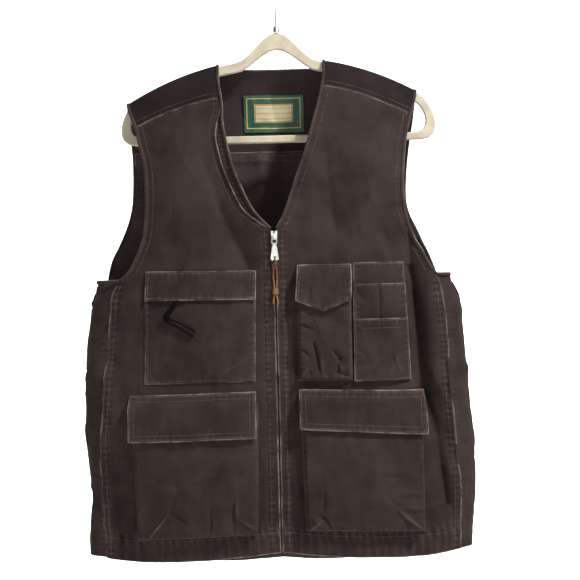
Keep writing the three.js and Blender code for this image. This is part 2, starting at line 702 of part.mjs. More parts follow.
// Pocket shapes on the front. Across is a share of half the body's width, down a share of the body's length,
// and the edges may slant from top to foot and from inner to outer.
const CHEST_ZIP_POCKET = {
  sign: -1,
  inner: 0.1,
  innerFoot: 0.112,
  outer: 0.654,
  outerFoot: 0.672,
  top: 0.4315,
  topOuter: 0.428,
  bandFoot: 0.4875,
  foot: 0.6505,
  footOuter: 0.6527,
};
const CHEST_FLAP_POCKET = {
  sign: 1,
  inner: 0.106,
  innerFoot: 0.106,
  outer: 0.378,
  outerFoot: 0.378,
  flapInner: 0.113,
  flapInnerFoot: 0.099,
  flapOuter: 0.381,
  flapOuterFoot: 0.376,
  top: 0.4224,
  flapFoot: 0.492,
  point: 0.5134,
  foot: 0.6525,
};
const TOOL_POCKET = {
  sign: 1,
  inner: 0.392,
  innerFoot: 0.386,
  outer: 0.652,
  outerFoot: 0.673,
  top: 0.42,
  foot: 0.6545,
};
const TOOL_TIERS = [
  { name: "tool_pocket_back", top: 0.42, layer: 0 },
  { name: "tool_pocket_middle", top: 0.463, layer: 1 },
  { name: "tool_pocket_front", top: 0.532, layer: 2 },
];
const CARGO_POCKETS = [
  {
    sign: -1,
    inner: 0.1,
    innerFoot: 0.117,
    outer: 0.745,
    outerFoot: 0.726,
    flapInner: 0.113,
    flapOuter: 0.752,
    top: 0.6716,
    topOuter: 0.676,
    flapFoot: 0.761,
    flapFootOuter: 0.766,
    foot: 0.957,
    footOuter: 0.9655,
  },
  {
    sign: 1,
    inner: 0.11,
    innerFoot: 0.123,
    outer: 0.728,
    outerFoot: 0.728,
    flapInner: 0.108,
    flapOuter: 0.742,
    top: 0.669,
    topOuter: 0.678,
    flapFoot: 0.745,
    flapFootOuter: 0.7634,
    foot: 0.95,
    footOuter: 0.9595,
  },
];

// The cord pull's strands and knot on the chest zip pocket: across from its inner edge and down from its top,
// as shares of its width and depth
const PULL_CORD = {
  pull_cord_top_1: [
    { across: 0.697, down: 0.28 },
    { across: 0.708, down: 0.31 },
    { across: 0.732, down: 0.348 },
    { across: 0.762, down: 0.374 },
  ],
  pull_cord_top_2: [
    { across: 0.727, down: 0.28 },
    { across: 0.741, down: 0.315 },
    { across: 0.766, down: 0.348 },
    { across: 0.79, down: 0.37 },
  ],
  pull_cord_tail_1: [
    { across: 0.752, down: 0.416 },
    { across: 0.7, down: 0.438 },
    { across: 0.62, down: 0.483 },
    { across: 0.534, down: 0.535 },
  ],
  pull_cord_tail_2: [
    { across: 0.764, down: 0.441 },
    { across: 0.712, down: 0.47 },
    { across: 0.64, down: 0.52 },
    { across: 0.546, down: 0.58 },
  ],
};
const PULL_CORD_KNOT = { across: 0.785, down: 0.408 };
const knotSwell = 1.2; // the cord knot's radius as a share of the cord's diameter

// The lace's strands between its knot and its ring, and below the ring, where down is a share of its ends'
// length. Out and forward are shares of the lace's diameter.
const LACE_FALL = [
  { down: 0.095, out: 0.583, forward: 0 },
  { down: 0.303, out: 0.917, forward: 0.333 },
  { down: 0.606, out: 1.042, forward: 0.667 },
  { down: 0.848, out: 0.75, forward: 1 },
  { down: 1, out: 0.563, forward: 1.25 },
];
const LACE_ENDS = [
  { down: 0, out: 0.563, forward: 1.25 },
  { down: 0.46, out: 1.083, forward: 1.333 },
  { down: 1, out: 1.333, forward: 1.417 },
];

// A pocket's place on the front, between edges that may slant
const pocketPlace = (p) => (u, v) => [
  p.sign * bodyHalf * lerp(lerp(p.inner, p.innerFoot, v), lerp(p.outer, p.outerFoot, v), u),
  heightOf(lerp(lerp(p.top, p.topOuter ?? p.top, u), lerp(p.foot, p.footOuter ?? p.foot, u), v)),
];

// Shares across and down a pocket, with a narrow step beside each sewn edge for the gusset that stands there
const steppedAcross = (count, width) => {
  const step = gussetRun / width;
  return [0, ...spread(count).map((t) => lerp(step, 1 - step, t)), 1];
};
const steppedDown = (count, depth) => [...spread(count).map((t) => t * (1 - gussetRun / depth)), 1];

// How far a gusseted pocket's outer face stands off the panel: nothing at its sewn edges, mouth at the top and
// stand at the foot
function pocketLift(mouth, stand) {
  const sewn = layGap + pocketCloth;
  return (u, v) => {
    if (u === 0 || u === 1 || v === 1) return sewn;
    return sewn + lerp(mouth, stand, Math.sin((v * Math.PI) / 2));
  };
}

// How far a flat pocket's outer face stands off: most at its mouth, nothing at its sides and foot
function bulgeLift(base, bulge) {
  return (u, v) => base + pocketCloth + Math.sin(u * Math.PI) * (layCrown + bulge * Math.sqrt(1 - v * v));
}

// How far a flap's outer face stands off: its root lies on the panel, and it leans out over the pocket's mouth
const flapRows = [0, 0.25, 0.6, 1];
function flapLift(over) {
  const root = layGap + flapCloth;
  const rise = over + pocketCloth + layGap + flapClearance;
  return (u, v) => root + rise * Math.min(1, v / flapRows[1]) * (1 + flapFlare * v);
}

// Chest pocket with a zip under its band
{
  const p = CHEST_ZIP_POCKET;
  const depthAt = frontFinders[p.sign];
  const place = pocketPlace(p);
  const arch = (t) => Math.sin(t * Math.PI);
  const lift = (u, v) => layGap + pocketCloth + chestBulge * arch(u) * Math.sqrt(arch(v));
  const bag = overlay(depthAt, spread(9), spread(10), place, lift);
  addPiece("chest_zip_pocket", sheet(bag, pocketCloth), canvas);
  const bandShare = (p.bandFoot - p.top) / (p.foot - p.top);
  const bandPlace = (u, v) => place(u, v * bandShare);
  const bandLift = (u, v) => lift(u, v * bandShare) + layGap + cloth + v * cloth;
  const band = overlay(depthAt, spread(9), spread(2), bandPlace, bandLift);
  addPiece("chest_pocket_band", sheet(band, cloth), canvas);

  // Cord pull of the pocket's zip: two strands come out under the band, a knot joins them, and two tails hang
  const onPocket = ({ across, down }, reach) => {
    const [x, z] = place(across, down);
    return new THREE.Vector3(x, depthAt(x, z) - lift(across, down) - reach - layGap, z);
  };
  for (const [name, points] of Object.entries(PULL_CORD)) {
    const path = points.map((point) => onPocket(point, cordDiameter / 2));
    addPiece(name, tube(path, cordDiameter, 8, 6), blackCord);
  }
  const knotRadius = cordDiameter * knotSwell;
  const knot = new THREE.SphereGeometry(knotRadius, 10, 6);
  addPiece("pull_cord_knot", knot, blackCord).position.copy(onPocket(PULL_CORD_KNOT, knotRadius));
}

// Chest pocket with a pointed flap
{
  const p = CHEST_FLAP_POCKET;
  const depthAt = frontFinders[p.sign];
  const width = (p.outer - p.inner) * bodyHalf;
  const mouth = lerp(p.top, p.flapFoot, flapRows[1]);
  const us = steppedAcross(4, width);
  const vs = steppedDown(5, (p.foot - mouth) * bodyLength);
  const place = pocketPlace({ ...p, top: mouth });
  const lift = pocketLift(flapPocketMouth, flapPocketStand);
  addPiece("chest_flap_pocket", sheet(overlay(depthAt, us, vs, place, lift), pocketCloth), canvas);
  const flapPlace = (u, v) => [
    bodyHalf * lerp(lerp(p.flapInner, p.flapInnerFoot, v), lerp(p.flapOuter, p.flapOuterFoot, v), u),
    heightOf(lerp(p.top, lerp(p.point, p.flapFoot, Math.abs(2 * u - 1)), v)),
  ];
  const flap = overlay(depthAt, spread(6), flapRows, flapPlace, flapLift(flapPocketMouth));
  addPiece("chest_pocket_flap", sheet(flap, flapCloth), canvas);
}

// Stepped tool pockets, each layer on the one behind it
{
  const p = TOOL_POCKET;
  const depthAt = frontFinders[p.sign];
  const whole = pocketPlace(p);
  for (const tier of TOOL_TIERS) {
    const start = (tier.top - p.top) / (p.foot - p.top);
    const place = (u, v) => whole(u, lerp(start, 1, v));
    const base = layGap + tier.layer * (pocketCloth + layGap);
    const bulge = bulgeLift(base, (toolBulge * tier.layer) / 2);
    const bag = overlay(depthAt, spread(6), spread(5), place, bulge);
    addPiece(tier.name, sheet(bag, pocketCloth), canvas);
  }
}

// Cargo pockets with their flaps
for (const p of CARGO_POCKETS) {
  const depthAt = frontFinders[p.sign];
  const mouth = lerp(p.top, p.flapFoot, flapRows[1]);
  const width = (p.outer - p.inner) * bodyHalf;
  const us = steppedAcross(6, width);
  const vs = steppedDown(7, (p.foot - mouth) * bodyLength);
  const mouthOuter = lerp(p.topOuter, p.flapFootOuter, flapRows[1]);
  const place = pocketPlace({ ...p, top: mouth, topOuter: mouthOuter });
  const lift = pocketLift(cargoMouth, cargoStand);
  const side = wearer(p.sign);
  addPiece("cargo_pocket_" + side, sheet(overlay(depthAt, us, vs, place, lift), pocketCloth), canvas);
  const flapPlace = pocketPlace({
    ...p,
    inner: p.flapInner,
    innerFoot: p.flapInner,
    outer: p.flapOuter,
    outerFoot: p.flapOuter,
    foot: p.flapFoot,
    footOuter: p.flapFootOuter,
  });
  const flap = overlay(depthAt, spread(8), flapRows, flapPlace, flapLift(cargoMouth));
  addPiece("cargo_flap_" + side, sheet(flap, flapCloth), canvas);
}

// Label on the inside of the back yoke
{
  const depthAt = facetFinder(yokeBackRows);
  const top = neckTop - labelDrop;
  const rows = spread(3).map((v) =>
    spread(6).map((u) => {
      const x = labelShift + lerp(-labelWidth / 2, labelWidth / 2, u);
      const z = top - v * labelHeight;
      return new THREE.Vector3(x, depthAt(x, z) - cloth - layGap, z);
    }),
  );
  addPiece("neck_label", sheet(rows, labelThickness), labelGreen);
}

// Zip slider with its bridge, link and tab
const sliderGroup = new THREE.Group();
const zipFace = facePoint(zipSlit / 2, zipTop - sliderLength, "front").y;
sliderGroup.position.set(0, zipFace - cloth - sliderDepth, zipTop - sliderLength + sliderDrop);
vest.add(sliderGroup);
{
  const half = sliderWidth / 2;
  const outline = new THREE.Shape();
  outline.moveTo(-half * sliderNose, -sliderLength / 2);
  outline.lineTo(half * sliderNose, -sliderLength / 2);
  outline.quadraticCurveTo(half, 0, half, sliderLength / 2);
  outline.lineTo(half * sliderFork, sliderLength / 2);
  outline.lineTo(0, sliderLength / 4);
  outline.lineTo(-half * sliderFork, sliderLength / 2);
  outline.lineTo(-half, sliderLength / 2);
  outline.quadraticCurveTo(-half, 0, -half * sliderNose, -sliderLength / 2);
  const plateCut = { depth: sliderDepth, bevelEnabled: false, curveSegments: 3 };
  const plate = new THREE.ExtrudeGeometry(outline, plateCut);
  plate.rotateX(Math.PI / 2);
  plate.translate(0, sliderDepth, 0);
  // The bridge is an arch over the plate, in the plane of the slider's length
  const bridgeRise = linkWire + 2 * linkPlay;
  const bridgeRun = sliderLength * bridgeShare;
  const haunch = -bridgeRise * bridgeHaunch;
  const arch = new THREE.Shape();
  arch.moveTo(-bridgeRun - bridgeWire, seamGap);
  arch.lineTo(-bridgeRun - bridgeWire, haunch);
  arch.quadraticCurveTo(-bridgeRun, -bridgeRise - bridgeWire, 0, -bridgeRise - bridgeWire);
  arch.quadraticCurveTo(bridgeRun, -bridgeRise - bridgeWire, bridgeRun + bridgeWire, haunch);
  arch.lineTo(bridgeRun + bridgeWire, seamGap);
  arch.lineTo(bridgeRun, seamGap);
  arch.lineTo(bridgeRun, haunch);
  arch.quadraticCurveTo(bridgeRun * 0.8, -bridgeRise, 0, -bridgeRise);
  arch.quadraticCurveTo(-bridgeRun * 0.8, -bridgeRise, -bridgeRun, haunch);
  arch.lineTo(-bridgeRun, seamGap);
  const bridge = new THREE.ExtrudeGeometry(arch, { depth: bridgeWidth, bevelEnabled: false, curveSegments: 4 });
  bridge.rotateY(-Math.PI / 2);
  bridge.translate(bridgeWidth / 2, 0, 0);
  addPiece("zip_slider", joined(plate, bridge), nickel, sliderGroup);
}

// Zip link, tab and leather lace, hanging from the slider's bridge
{
  const linkY = -linkPlay - linkWire / 2;
  const bridgeFoot = -sliderLength * bridgeShare;
  const linkTop = bridgeFoot + linkWire / 2 + linkPlay;
  const linkFoot = linkTop - linkLength + linkWire;
  const side = (linkWidth - linkWire) / 2;
  const corner = 0.35 * side;
  const loop = [
    [-side, linkTop - corner * 2],
    [-side + corner, linkTop],
    [side - corner, linkTop],
    [side, linkTop - corner * 2],
    [side, linkFoot + corner * 2],
    [side - corner, linkFoot],
    [-side + corner, linkFoot],
    [-side, linkFoot + corner * 2],
  ].map(([x, z]) => new THREE.Vector3(x, linkY, z));
  const path = new THREE.CatmullRomCurve3(loop, true, "centripetal");
  addPiece("zip_pull_link", new THREE.TubeGeometry(path, 20, linkWire / 2, 6, true), nickel, sliderGroup);

  const eyeInner = linkWire / 2 + linkPlay;
  const eyeOuter = eyeInner + tabThickness * 0.6;
  const eyeShape = new THREE.Shape().absarc(0, 0, eyeOuter, 0, 2 * Math.PI);
  eyeShape.holes.push(new THREE.Path().absarc(0, 0, eyeInner, 0, 2 * Math.PI, true));
  const eyeWidth = (linkWidth - 2 * linkWire) * 0.8;
  const eye = new THREE.ExtrudeGeometry(eyeShape, { depth: eyeWidth, bevelEnabled: false, curveSegments: 6 });
  eye.rotateY(Math.PI / 2);
  eye.translate(-eyeWidth / 2, linkY, linkFoot);
  const tabTop = linkFoot - eyeInner - tabThickness * 0.3;
  const tabFoot = tabTop - tabLength;
  const neck = linkFoot - linkWire / 2 - linkPlay - tabThickness;
  const round = 0.2 * tabFootWidth;
  const tabShape = new THREE.Shape();
  tabShape.moveTo(-eyeWidth / 2, tabTop);
  tabShape.lineTo(eyeWidth / 2, tabTop);
  tabShape.lineTo(tabTopWidth / 2, neck - tabShoulder);
  tabShape.lineTo(tabFootWidth / 2, tabFoot + round);
  tabShape.quadraticCurveTo(tabFootWidth / 2, tabFoot, tabFootWidth / 2 - round, tabFoot);
  tabShape.lineTo(round - tabFootWidth / 2, tabFoot);
  tabShape.quadraticCurveTo(-tabFootWidth / 2, tabFoot, -tabFootWidth / 2, tabFoot + round);
  tabShape.lineTo(-tabTopWidth / 2, neck - tabShoulder);
  const holeZ = tabFoot + 1.9 * tabHoleRadius;
  tabShape.holes.push(new THREE.Path().absarc(0, holeZ, tabHoleRadius, 0, 2 * Math.PI, false));
  const tabCut = { depth: tabThickness, bevelEnabled: false, curveSegments: 4 };
  const tab = new THREE.ExtrudeGeometry(tabShape, tabCut);
  tab.rotateX(Math.PI / 2);
  tab.translate(0, linkY + tabThickness / 2, 0);
  addPiece("zip_pull_tab", joined(eye, tab), nickel, sliderGroup);

  // The lace loops through the tab's hole, is knotted under it, and its two strands pass through a wrapped ring
  const loopRadius = laceDiameter * 1.35;
  const laceLoop = new THREE.TorusGeometry(loopRadius, laceDiameter * 0.45, 6, 14);
  laceLoop.rotateY(Math.PI / 2);
  laceLoop.translate(0, linkY, holeZ - loopRadius);
  const knot = new THREE.SphereGeometry(laceDiameter * 1.3, 10, 6);
  knot.scale(1.15, 1, 0.85);
  const knotZ = holeZ - 2 * loopRadius - laceDiameter * 0.9;
  knot.translate(0, linkY, knotZ);
  addPiece("zip_lace_knot", joined(laceLoop, knot), leather, sliderGroup);
  const wrapInner = laceDiameter * 1.25;
  const wrapOuter = wrapInner + laceRingWall;
  const ringTop = knotZ - laceFall + laceRingHeight / 2;
  const ringFoot = ringTop - laceRingHeight;
  const ring = [
    new THREE.Vector2(wrapInner, 0),
    new THREE.Vector2(wrapOuter, 0),
    new THREE.Vector2(wrapOuter, laceRingHeight),
    new THREE.Vector2(wrapInner, laceRingHeight),
    new THREE.Vector2(wrapInner, 0),
  ];
  const wrap = new THREE.LatheGeometry(ring, 12);
  wrap.rotateX(Math.PI / 2);
  wrap.translate(0, linkY - LACE_ENDS[0].forward * laceDiameter, ringFoot);
  addPiece("zip_lace_wrap", wrap, leather, sliderGroup);
  for (const hand of [-1, 1]) {
    const strandPoint = (row, z) =>
      new THREE.Vector3(hand * row.out * laceDiameter, linkY - row.forward * laceDiameter, z);
    const points = [
      ...LACE_FALL.map((row) => strandPoint(row, lerp(knotZ, ringTop, row.down))),
      ...LACE_ENDS.map((row) => strandPoint(row, ringFoot - row.down * laceEnds)),
    ];
    addPiece("zip_lace_strand_" + wearer(hand), tube(points, laceDiameter, 8, 11), leather, sliderGroup);
  }
}

// Hanger
{
  const half = hangerWidth / 2;
  const armEnd = armReach * armEndShare;
  const barFoot = -barDrop - barHeight;
  const outer = [];
  const inner = [];
  for (const t of spread(6)) {
    const ease = t * t * (3 - 2 * t);
    outer.push([t * crestHalf, lerp(-crestDrop, armZ(crestHalf), ease)]);
    inner.push([t * crestHalf, lerp(-crestDrop - crestDepth, armZ(crestHalf) - armDepth, ease)]);
  }
  for (const t of spread(8).slice(1)) {
    const outerX = lerp(crestHalf, armEnd, t);
    const innerX = lerp(crestHalf, armEnd - armDepth / 2, t);
    outer.push([outerX, armZ(outerX)]);
    inner.push([innerX, armZ(innerX) - armDepth]);
  }
  const endCurve = new THREE.CubicBezierCurve(
    new THREE.Vector2(armEnd, armZ(armEnd)),
    new THREE.Vector2(lerp(armEnd, half, endShoulder), armZ(armReach) - endFall),
    new THREE.Vector2(lerp(armEnd, half, endSwell), barFoot),
    new THREE.Vector2(armEnd, barFoot),
  );
  const innerEnd = new THREE.CubicBezierCurve(
    new THREE.Vector2(...inner[inner.length - 1]),
    new THREE.Vector2(lerp(armEnd, half, innerShoulder), armZ(armReach) - armDepth),
    new THREE.Vector2(lerp(armEnd, half, innerSwell), -barDrop),
    new THREE.Vector2(armEnd - barHeight, -barDrop),
  );
  const outline = (path, curve) => {
    const right = [...path.map(([x, z]) => new THREE.Vector2(x, z)), ...curve.getPoints(8).slice(1)];
    const left = right.slice(1).reverse().map((p) => new THREE.Vector2(-p.x, p.y));
    return [...right, ...left];
  };
  const shape = new THREE.Shape(outline(outer, endCurve));
  shape.holes.push(new THREE.Path(outline(inner, innerEnd).reverse()));
  const frame = new THREE.ExtrudeGeometry(shape, {
    depth: hangerThickness - 2 * hangerEdgeRound,
    bevelThickness: hangerEdgeRound,
    bevelSize: hangerEdgeRound,
    bevelOffset: -hangerEdgeRound,
    bevelSegments: 1,
  });
  frame.translate(0, 0, hangerEdgeRound - hangerThickness / 2);
  frame.rotateX(Math.PI / 2);
  addPiece("hanger_frame", frame, flocking, object);
}
{
  const collar = new THREE.CylinderGeometry(collarRadius * 0.8, collarRadius, collarHeight, 12);
  collar.rotateX(Math.PI / 2);
  collar.translate(0, 0, -crestDrop + fitGap + collarHeight / 2);
  addPiece("hanger_collar", collar, nickel, object);
}
{
  const bend = hookInnerRadius + hookWire / 2;
  const centreZ = -hookInnerRadius;
  const points = [
    new THREE.Vector3(0, 0, -crestDrop + 2 * fitGap + collarHeight),
    new THREE.Vector3(0, 0, centreZ - bend - hookNeck),
    new THREE.Vector3(-bend / 10, 0, centreZ - bend - hookNeck / 3),
  ];
  for (const share of spread(9)) {
    const turn = THREE.MathUtils.degToRad(lerp(hookStartAngle, hookTipAngle, share));
    points.push(new THREE.Vector3(bend * Math.cos(turn), 0, centreZ + bend * Math.sin(turn)));
  }
  addPiece("hanger_hook", tube(points, hookWire, 8, 30), nickel, object);
}

export default object;
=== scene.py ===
"""A zip-front utility work vest on a flocked coat hanger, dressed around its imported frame.

Lengths are millimetres until a mesh is made, and x is measured from the vest's own middle line.
"""
import math

import bpy
import numpy as np
from mathutils import Matrix, Vector


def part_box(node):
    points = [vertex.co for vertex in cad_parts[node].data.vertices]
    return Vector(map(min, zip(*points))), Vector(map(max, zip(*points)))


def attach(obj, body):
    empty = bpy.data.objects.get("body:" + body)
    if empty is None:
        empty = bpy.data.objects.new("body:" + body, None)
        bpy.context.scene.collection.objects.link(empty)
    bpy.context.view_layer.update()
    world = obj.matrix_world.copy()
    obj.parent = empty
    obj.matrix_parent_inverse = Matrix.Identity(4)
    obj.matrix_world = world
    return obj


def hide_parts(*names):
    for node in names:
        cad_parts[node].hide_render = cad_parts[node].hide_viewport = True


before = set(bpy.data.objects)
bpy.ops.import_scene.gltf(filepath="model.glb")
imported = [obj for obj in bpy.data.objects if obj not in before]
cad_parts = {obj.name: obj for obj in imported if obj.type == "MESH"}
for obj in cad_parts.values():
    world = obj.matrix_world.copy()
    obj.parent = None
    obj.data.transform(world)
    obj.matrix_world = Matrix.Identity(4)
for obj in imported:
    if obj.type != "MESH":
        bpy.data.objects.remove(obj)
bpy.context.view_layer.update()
MM = 0.001

# Sizes of the frame's solids
VEST_SHIFT = -9.0
CLOTH = 1.2
SEAT_GAP = 1.2
HANGER_WIDTH = 443.0
HANGER_THICKNESS = 6.0
ARM_TOP_DROP = 115.4
ARM_FALL = 62.0
ARM_REACH = 0.96 * HANGER_WIDTH / 2
ARM_BEND = 2.1
ARM_DEPTH = 14.0
CREST_DROP = 78.0
CREST_HALF = 60.0
CREST_DEPTH = 24.0
BAR_DROP = 222.0
BAR_HEIGHT = 10.5
BODY_LENGTH = 680.0
BODY_HALF = 269.0
FRONT_DEPTH = 58.0
BACK_DEPTH = 50.0
SECTION_POWER = 2.4
NECK_HALF = 75.0
NECK_DEPTH = 240.0
BACK_NECK_DROP = 11.0
FRONT_YOKE = 41.0
BACK_YOKE = 126.0
HEM = 30.0
BACK_HEM_DIP = 28.0
BACK_HEM_DIP_SHARE = 0.8
ARMHOLE_SHARE = 0.447
SHOULDER_FALL = {"front": 80.0, "back": 45.0}
RIDGE = HANGER_THICKNESS / 2 + SEAT_GAP + CLOTH
ZIP_SLIT = 5.2
LAY = 0.5
PATCH_LEAN = 0.35  # how much of the cloth's own lean a stiff patch takes as it stands off

# Down the body: half widths as shares of the body's half width, and depths as shares of its two depths
SECTIONS = [  # down, left, right, front, back
    (0.0, 0.85, 0.84, 0.72, 0.9),
    (0.19, 0.87, 0.86, 0.82, 1.0),
    (0.338, 0.9, 0.885, 0.92, 1.0),
    (0.447, 0.926, 0.905, 0.98, 0.98),
    (0.49, 0.958, 0.952, 1.0, 0.96),
    (0.54, 0.97, 0.964, 1.0, 0.94),
    (0.634, 0.993, 0.981, 1.0, 0.92),
    (0.706, 1.0, 0.995, 1.0, 0.9),
    (0.794, 0.994, 1.011, 0.98, 0.9),
    (0.89, 0.974, 1.007, 0.95, 0.92),
    (0.94, 0.987, 0.997, 0.93, 0.94),
    (1.0, 0.981, 0.985, 0.9, 0.95),
]
FRONT_EDGE = [  # down, left, right
    (0.0, 0.765, 0.76),
    (0.072, 0.747, 0.743),
    (0.109, 0.722, 0.717),
    (0.135, 0.695, 0.699),
    (0.166, 0.678, 0.68),
    (0.21, 0.651, 0.665),
    (0.268, 0.643, 0.655),
    (0.319, 0.647, 0.665),
    (0.365, 0.662, 0.7),
    (0.401, 0.698, 0.75),
    (0.432, 0.74, 0.79),
    (0.447, 0.79, 0.82),
    (0.475, 0.826, 0.835),
    (0.522, 0.838, 0.848),
    (0.61, 0.864, 0.864),
    (0.706, 0.884, 0.88),
    (0.794, 0.905, 0.898),
    (0.88, 0.906, 0.91),
    (1.0, 0.89, 0.907),
]
BACK_EDGE = [  # down, left, right
    (0.0, 0.765, 0.76),
    (0.072, 0.747, 0.743),
    (0.132, 0.74, 0.725),
    (0.19, 0.732, 0.703),
    (0.279, 0.738, 0.691),
    (0.316, 0.755, 0.706),
    (0.346, 0.782, 0.738),
    (0.375, 0.815, 0.77),
    (0.404, 0.848, 0.804),
    (0.447, 0.872, 0.84),
    (0.522, 0.88, 0.86),
    (0.706, 0.905, 0.9),
    (1.0, 0.91, 0.92),
]
NECK_EDGE = [  # down as a share of the neck's depth, left, right
    (0.0, 1.0, 1.0),
    (0.12, 0.99, 0.98),
    (0.25, 0.93, 0.89),
    (0.37, 0.92, 0.78),
    (0.5, 0.85, 0.66),
    (0.62, 0.76, 0.53),
    (0.75, 0.6, 0.38),
    (0.87, 0.41, 0.25),
    (0.95, 0.2, 0.13),
    (1.0, 0.035, 0.035),
]
YOKE_SEAM = [(0.28, 1.19, 0.91), (0.75, 1.0, 0.97)]  # across, left, right
HEM_LINE = [(0.0, 0.16), (0.2, -0.04), (0.5, -0.2), (0.75, -0.2), (1.0, 0.02)]  # across, rise

# Folds: two ends (across, down), half width, how far it stands out (+) or dips in (-), and how crisp it is
FRONT_FOLDS = [
    (0.68, 0.385, 0.72, 0.69, 0.07, -0.17, 2.0),
    (0.79, 0.46, 0.8, 0.66, 0.06, 0.08, 2.0),
    (0.77, 0.69, 0.84, 0.79, 0.06, -0.14, 2.0),
    (0.79, 0.82, 0.84, 0.91, 0.05, -0.09, 2.0),
    (0.285, 0.2, 0.285, 0.33, 0.07, -0.06, 2.0),
    (0.49, 0.22, 0.41, 0.34, 0.06, 0.05, 2.0),
    (-0.33, 0.17, -0.15, 0.4, 0.09, -0.13, 2.0),
    (-0.24, 0.3, -0.08, 0.4, 0.06, 0.06, 2.0),
    (-0.6, 0.19, -0.61, 0.3, 0.07, -0.05, 2.0),
    (-0.54, 0.33, -0.52, 0.37, 0.05, -0.06, 2.0),
    (-0.82, 0.85, -0.82, 0.95, 0.05, -0.08, 2.0),
    (0.67, 0.46, 0.7, 0.69, 0.03, 0.06, 2.0),
    (0.26, 0.16, 0.31, 0.36, 0.018, -0.025, 1.5),
    (0.53, 0.2, 0.44, 0.36, 0.018, 0.025, 1.5),
    (0.56, 0.36, 0.6, 0.43, 0.02, -0.03, 1.5),
    (-0.36, 0.2, -0.27, 0.31, 0.03, -0.04, 1.6),
    (-0.27, 0.31, -0.14, 0.42, 0.026, -0.055, 1.6),
    (-0.72, 0.36, -0.76, 0.6, 0.05, 0.03, 2.0),
    (-0.84, 0.6, -0.8, 0.7, 0.03, -0.03, 1.6),
    (0.86, 0.5, 0.88, 0.62, 0.03, 0.03, 1.8),
]
FRONT_FURROWS = [
    (0.735, 0.31, 0.69, 0.37, 0.018, -0.05, 1.5),
    (0.69, 0.37, 0.685, 0.43, 0.02, -0.1, 1.5),
    (0.685, 0.43, 0.7, 0.48, 0.024, -0.17, 1.5),
    (0.7, 0.48, 0.727, 0.58, 0.026, -0.21, 1.5),
    (0.727, 0.58, 0.745, 0.69, 0.026, -0.21, 1.5),
    (0.745, 0.69, 0.8, 0.77, 0.022, -0.17, 1.5),
    (0.8, 0.77, 0.85, 0.91, 0.02, -0.12, 1.5),
]
BACK_FOLDS = [
    (-0.05, 0.26, -0.1, 0.9, 0.1, -0.1, 2.0),
    (0.12, 0.28, 0.16, 0.8, 0.1, 0.08, 2.0),
    (0.4, 0.3, 0.5, 0.95, 0.12, -0.14, 2.0),
    (-0.42, 0.32, -0.5, 0.95, 0.12, -0.12, 2.0),
    (0.68, 0.4, 0.7, 0.85, 0.08, 0.08, 2.0),
    (-0.7, 0.42, -0.72, 0.9, 0.08, 0.08, 2.0),
    (-0.06, 0.2, -0.09, 0.42, 0.035, -0.07, 1.6),
    (0.05, 0.2, 0.07, 0.5, 0.03, 0.05, 1.6),
    (-0.6, 0.24, -0.45, 0.5, 0.03, -0.04, 1.6),
    (0.6, 0.24, 0.42, 0.52, 0.03, -0.04, 1.6),
    (-0.5, 0.62, -0.2, 0.78, 0.03, 0.03, 1.6),
    (0.52, 0.66, 0.25, 0.74, 0.03, -0.03, 1.6),
]


def lerp(a, b, t):
    return a + (b - a) * t


def side_name(sign):
    return "right" if sign < 0 else "left"


def eased(t):
    t = np.clip(t, 0, 1)
    return t * t * (3 - 2 * t)


def table_curve(rows, column):
    """A smooth curve through one column of a table."""
    at = np.array([row[0] for row in rows])
    value = np.array([row[column] for row in rows])
    before = np.maximum(np.arange(len(at)) - 1, 0)
    after = np.minimum(np.arange(len(at)) + 1, len(at) - 1)
    slopes = (value[after] - value[before]) / (at[after] - at[before])

    def curve(place):
        place = np.clip(place, at[0], at[-1])
        i = np.clip(np.searchsorted(at, place) - 1, 0, len(at) - 2)
        run = at[i + 1] - at[i]
        t = (place - at[i]) / run
        bend = t * (1 - t) * run * ((1 - t) * slopes[i] - t * slopes[i + 1])
        return value[i] + (value[i + 1] - value[i]) * eased(t) + bend

    return curve


def sided_curve(rows):
    left, right = table_curve(rows, 1), table_curve(rows, 2)
    return lambda sign, place: np.where(np.asarray(sign) < 0, left(place), right(place))


section_half = sided_curve(SECTIONS)
section_depth = {"front": table_curve(SECTIONS, 3), "back": table_curve(SECTIONS, 4)}
front_edge = sided_curve(FRONT_EDGE)
back_edge = sided_curve(BACK_EDGE)
neck_edge = sided_curve(NECK_EDGE)
yoke_seam = sided_curve(YOKE_SEAM)
hem_rise = table_curve(HEM_LINE, 1)


def arm_z(x):
    return -ARM_TOP_DROP - ARM_FALL * (np.abs(x) / ARM_REACH) ** ARM_BEND


def shoulder_z(x):
    return arm_z(x + VEST_SHIFT) + SEAT_GAP + CLOTH


NECK_TOP = float(shoulder_z(NECK_HALF))
HEM_Z = NECK_TOP - BODY_LENGTH
ARMHOLE_FOOT = NECK_TOP - ARMHOLE_SHARE * BODY_LENGTH
ZIP_TOP = NECK_TOP - NECK_DEPTH
BACK_SEAM_Z = NECK_TOP - BACK_YOKE


def down_of(z):
    return (NECK_TOP - z) / BODY_LENGTH


def height_of(down):
    return NECK_TOP - down * BODY_LENGTH


def front_seam_z(x):
    return shoulder_z(x) - FRONT_YOKE * yoke_seam(x, np.abs(x) / BODY_HALF)


def front_hem_z(x):
    return HEM_Z + HEM * hem_rise(np.abs(x) / BODY_HALF)


def back_hem_z(x):
    return front_hem_z(x) - BACK_HEM_DIP * np.maximum(0, 1 - (x / (BACK_HEM_DIP_SHARE * BODY_HALF)) ** 2)


def half_width(sign, z):
    return BODY_HALF * section_half(sign, down_of(z))


def front_edge_x(sign, z):
    return sign * BODY_HALF * front_edge(sign, down_of(z))


def back_edge_x(sign, z):
    return sign * BODY_HALF * back_edge(sign, down_of(z))


def neck_edge_x(sign, z):
    return sign * np.maximum(ZIP_SLIT / 2, NECK_HALF * neck_edge(sign, (NECK_TOP - z) / NECK_DEPTH))


